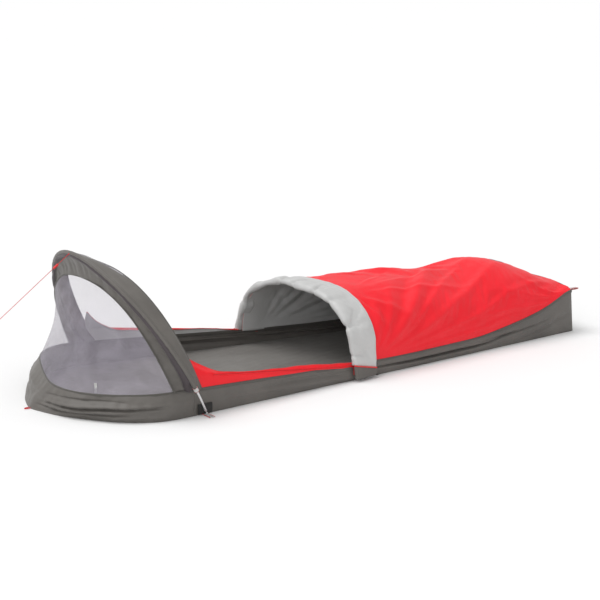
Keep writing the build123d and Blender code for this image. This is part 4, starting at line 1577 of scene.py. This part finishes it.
def hard_finish(name, low, high, metallic, rough, scale=220.0, stretch=(1, 1, 1), coat=0.0):
    """A hard surface: a fine grain in its tone, its roughness and its relief."""
    material, tree, shader = new_material(name)
    mapping = tree.nodes.new("ShaderNodeMapping")
    mapping.inputs["Scale"].default_value = stretch
    tree.links.new(coordinates(tree, "Object"), mapping.inputs[0])
    grain = node(tree, "ShaderNodeTexNoise", Scale=scale, Detail=5.0, Roughness=0.6)
    tree.links.new(mapping.outputs[0], grain.inputs["Vector"])
    grains = grain.outputs["Fac"]
    tone(tree, shader, grains, low, high)
    tree.links.new(spread(tree, grains, *rough), shader.inputs["Roughness"])
    tree.links.new(bump(tree, grains, 0.00005), shader.inputs["Normal"])
    shader.inputs["Metallic"].default_value = metallic
    shader.inputs["Coat Weight"].default_value = coat
    return material


pole_metal = hard_finish(
    "pole_metal", (0.62, 0.62, 0.63), (0.80, 0.80, 0.81), 1.0, (0.24, 0.4), stretch=(6, 6, 0.5),
)
tip_metal = hard_finish("tip_metal", (0.55, 0.55, 0.56), (0.7, 0.7, 0.71), 1.0, (0.3, 0.45))
shock_rubber = hard_finish(
    "shock_rubber", (0.03, 0.03, 0.03), (0.09, 0.09, 0.085), 0.0, (0.6, 0.75), scale=900.0,
)

# %% [markdown]
# ## The pole's pieces
# Each section runs along its share of the pole's line, and a ferrule covers each joint.

# %% Pole sections
for label, low, high in (
    ("lower_near", tip_share, joint_share), ("upper_near", joint_share, 0.5),
    ("upper_far", 0.5, 1 - joint_share), ("lower_far", 1 - joint_share, 1 - tip_share),
):
    pole_piece(f"pole_tube_{label}", low, high, pole_radius, pole_metal, f"pole_{label}")
reach = ferrule_half / pole_length
for label, share in (("side_near", joint_share), ("crest", 0.5), ("side_far", 1 - joint_share)):
    low, high = share - reach, share + reach
    pole_piece(f"ferrule_tube_{label}", low, high, ferrule_radius, tip_metal, f"ferrule_{label}")
pole_piece("shock_cord_core", tip_share, 1 - tip_share, 0.00125, shock_rubber, "shock_cord")
print("pole length", round(pole_length, 3), "joint at share", round(joint_share, 3))
print("pole length", round(pole_length, 3), "joint at share", round(joint_share, 3))

# %% [markdown]
# ## Webbing tabs and loops
# A tab is a short strap of woven webbing with red edges. It is one strip with two thin strips
# along its sides. Loops are the same strap, bent round.

# %% Tabs
def strap(name, line, across, width, body, replaces, thickness=0.0014, edges=True):
    """A strap of webbing, with thin red edges where it has them."""
    webbing = strip_mesh(name, line, across, width)
    thicken(new_piece(name, webbing, webbing_cloth, body, replaces), thickness)
    way = unit(np.asarray(across, float))
    for k, shift in enumerate((-0.5, 0.5) if edges else ()):
        side = np.asarray(line) + way * width * shift
        tube_piece(f"{name}_edge{k}", side, thickness * 0.75, 2, red_webbing, body)


for label, side in both_sides:
    low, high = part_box(f"tip_tab_{label}")
    inner, outer = (high.y, low.y) if side < 0 else (low.y, high.y)
    steps = np.linspace(0, 1, 24)
    y = inner + (outer - inner) * steps
    line = np.stack([0 * y + (low.x + high.x) / 2, y, 0.0013 + 0.0007 * np.sin(math.pi * steps)], axis=1)
    strap(f"tip_strap_{label}", line, (1, 0, 0), high.x - low.x - 0.003, "bag", [f"tip_tab_{label}"])

    end, before = (pole_in[0], pole_in[4]) if side < 0 else (pole_in[-1], pole_in[-5])
    way = unit(end - before)
    cuff_line = np.array([end - way * 0.003 + way * 0.015 * share for share in np.linspace(0, 1, 12)])
    name = f"sleeve_cuff_{label}"
    cuff_mesh = sleeve_mesh(name, cuff_line, 0.0078)
    thicken(new_piece(name, cuff_mesh, webbing_cloth, "hoop", [f"sleeve_loop_{label}"]), 0.0010)
    flat_way = (0, 1, 0) if abs(way[1]) < 0.9 else (1, 0, 0)
    for k, at in enumerate((0, -1)):
        ring = ring_mesh(f"{name}_edge{k}", cuff_line[at], 0.0080, 0.0012, flat_way, way)
        new_piece(f"{name}_edge{k}", ring, red_webbing, "hoop")

    low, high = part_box(f"base_patch_{label}")

    def patch_place(u, v):
        x = low.x + (high.x - low.x) * u
        uneven = 0.0008 * waviness(u * 0.06, v * 0.04, 0.03, 97)
        y = half_at(x) + 0.0045 + 0.003 * np.sin(math.pi * v) + uneven
        return np.stack([x, side * y, low.z + (high.z - low.z) * v], axis=1)

    cloth_piece(f"pole_patch_{label}", (24, 16), patch_place, black_cloth, "bag",
                [f"base_patch_{label}"], wall=0.0014, turned=side > 0)
print("tabs, cuffs and patches made")

# %% [markdown]
# ## Loops
# The nose has a cord loop and the foot two webbing loops, all for pegs. Inside, a short strap
# holds the sleeping pad. Each is a smooth route through a few points.

# %% Nose, foot and pad loops
low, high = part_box("nose_loop")
loop_half, loop_front, loop_back = (high.y - low.y) / 2 - 0.0016, low.x + 0.0016, high.x
loop_route = [
    (loop_back, -loop_half, 0.0022), (loop_front + 0.006, -loop_half, 0.002),
    (loop_front - 0.003, -loop_half * 0.6, 0.002), (loop_front - 0.003, loop_half * 0.6, 0.002),
    (loop_front + 0.006, loop_half, 0.002), (loop_back, loop_half, 0.0022),
]
tube_piece("nose_pull", smooth_line(loop_route), 0.0016, 4, red_cord, "nose_loop", ["nose_loop"])
for label, side in both_sides:
    low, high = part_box(f"foot_loop_{label}")
    centre_y, top, bottom = (low.y + high.y) / 2, high.z - 0.0012, low.z + 0.0012
    route = [
        (low.x - 0.013, centre_y, top), (high.x - 0.006, centre_y, top),
        (high.x, centre_y, (top + bottom) / 2 + 0.001),
        (high.x - 0.006, centre_y, bottom), (low.x - 0.013, centre_y, bottom),
    ]
    line = at_share(smooth_line(route), np.linspace(0, 1, 60))
    strap(f"foot_strap_{label}", line, (0, 1, 0), high.y - low.y - 0.002, f"foot_loop_{label}",
          [f"foot_loop_{label}"], thickness=0.0013)
low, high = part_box("pad_loop")
steps = np.linspace(0, 1, 24)
pad_centre = (low + high) / 2
pad_across = np.array((0.83, -0.56, 0))
pad_x = pad_centre.x + 0.002 * np.sin(math.pi * steps)
pad_line = np.stack([pad_x, pad_centre.y + 0 * steps, low.z + (high.z - low.z) * steps], axis=1)
strap("pad_strap", pad_line, pad_across, 0.009, "bag", ["pad_loop"], edges=False)
print("straps and loops made")

# %% [markdown]
# ## The badge
# A small oval patch is stitched to the cover near the foot. It carries no mark, only a pale
# face and a darker rim.

# %% Badge
low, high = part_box("cover_badge")
badge_x, badge_y = (low.x + high.x) / 2, (low.y + high.y) / 2
badge_half = Vector(((high.x - low.x) / 2, (high.y - low.y) / 2))
cover_tree = tree_of(cover.data)


def on_cover(x, y, lift):
    hit = cover_tree.ray_cast(Vector((x, y, 1)), Vector((0, 0, -1)))[0]
    return np.array(hit) + np.array((0, 0, lift))


def badge_piece(name, grow, lift, dome, material, replaces=()):
    """An oval laid on the cover, a share grow of the badge's size, with its middle raised by dome."""
    bm = bmesh.new()
    bmesh.ops.create_circle(bm, cap_ends=True, segments=48, radius=1)
    for _ in range(5):
        middle = [f for f in bm.faces if len(f.verts) > 4]
        bmesh.ops.inset_individual(bm, faces=middle, thickness=0.18)
    for vert in bm.verts:
        away = math.hypot(vert.co.x, vert.co.y)
        x, y = badge_x + vert.co.x * badge_half.x * grow, badge_y + vert.co.y * badge_half.y * grow
        vert.co = on_cover(x, y, lift + dome * (1 - away ** 2))
    thicken(new_piece(name, mesh_from(bm, name), material, "bag", replaces), 0.0008)


badge_face = trim_finish(
    "badge_face", (0.55, 0.66, 0.78), (0.78, 0.84, 0.90), 0.0012, (0.4, 0.5), weave=0.0001, blotch_size=0.03,
)
badge_edge = trim_finish("badge_edge", (0.42, 0.44, 0.47), (0.5, 0.52, 0.55), 0.0012, (0.5, 0.6))
badge_piece("badge_rim", 1.0, 0.0016, 0.0, badge_edge, ["cover_badge"])
badge_piece("badge_disc", 0.84, 0.0024, 0.0006, badge_face)
print("badge at", round(badge_x, 3), round(badge_y, 3))

# %% [markdown]
# ## Hard parts
# The pole's tips, the eyelets, the zip's sliders, pulls and stops and the line's tensioner are
# right as designed, so they keep their shapes and only get finishes: metal, paint and plastic.

# %% Hard finishes
eyelet_metal = hard_finish(
    "eyelet_metal", (0.45, 0.46, 0.48), (0.6, 0.61, 0.62), 1.0, (0.28, 0.42), scale=400.0,
)
slider_paint = hard_finish(
    "slider_paint", (0.50, 0.012, 0.015), (0.62, 0.02, 0.022), 0.2, (0.3, 0.42), coat=0.4,
)
pull_rubber = hard_finish(
    "pull_rubber", (0.62, 0.018, 0.018), (0.78, 0.03, 0.03), 0.0, (0.45, 0.6), scale=600.0,
)
black_plastic = hard_finish("black_plastic", (0.02, 0.02, 0.02), (0.035, 0.034, 0.033), 0.0, (0.4, 0.55))

finishes = {
    "pole_tip": tip_metal, "tip_eyelet": eyelet_metal, "peg_eyelet": eyelet_metal,
    "zip_slider": slider_paint, "zip_pull": pull_rubber, "zip_stop": black_plastic,
    "line_tensioner": pull_rubber,
}
dressed = []
for name, item in frame["nodes"].items():
    for start, material in finishes.items():
        if name.startswith(start):
            item.data.materials.clear()
            item.data.materials.append(material)
            dressed.append(name)
print("CAD pieces kept:", sorted(set(dressed)))

# %% [markdown]
# ## The cord's mesh
# The guyline's route is evaluated once more, and the cord is given a mesh of its own.

# %% Cord mesh
[tuple(p) for p in smooth_line(guy_route)]
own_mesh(guyline)

# %% [markdown]
# ## Studio
# A pale floor, a pale sky, a broad soft key from high on the far side and a weak fill from the
# near side. The key grazes the near wall and the cover, so their folds read.

# %% Floor and lamps
bm = bmesh.new()
bmesh.ops.create_grid(bm, x_segments=1, y_segments=1, size=140)
bmesh.ops.translate(bm, vec=(0, 0, -0.0006), verts=bm.verts[:])
ground = bpy.data.objects.new("ground", mesh_from(bm, "ground"))
bpy.context.scene.collection.objects.link(ground)
paper, tree, shader = new_material("paper")
shader.inputs["Base Color"].default_value = (0.88, 0.88, 0.88, 1)
shader.inputs["Roughness"].default_value = 0.9
shader.inputs["Specular IOR Level"].default_value = 0.1
ground.data.materials.append(paper)
ground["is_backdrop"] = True

world = bpy.data.worlds.new("studio")
bpy.context.scene.world = world
world.use_nodes = True
world.node_tree.nodes["Background"].inputs[0].default_value = (1, 1, 1, 1)
world.node_tree.nodes["Background"].inputs[1].default_value = 0.70


def soft_lamp(name, place, aim, size, power):
    lamp = bpy.data.lights.new(name, "AREA")
    lamp.shape = "DISK"
    lamp.size = size
    lamp.energy = power
    holder = bpy.data.objects.new(name, lamp)
    holder.location = place
    holder.rotation_euler = (Vector(aim) - Vector(place)).to_track_quat("-Z", "Y").to_euler()
    bpy.context.scene.collection.objects.link(holder)


key = bpy.data.lights.new("key", "SUN")
key.energy = 1.6
key.angle = math.radians(38)
key_holder = bpy.data.objects.new("key", key)
key_holder.rotation_euler = Vector((0.42, -0.30, -1)).to_track_quat("-Z", "Y").to_euler()
bpy.context.scene.collection.objects.link(key_holder)
soft_lamp("fill", (-2.4, -3.0, 1.2), (0, 0, 0.2), 1.6, 14)
bpy.context.scene.view_settings.view_transform = "Standard"
bpy.context.scene.view_settings.look = "None"
print("studio lit")

# %% [markdown]
# ## Sizes and finish
# The visual model's box is printed.

# %% Finish
low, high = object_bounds()
print("visual box", [round(x, 3) for x in (*low, *high)])
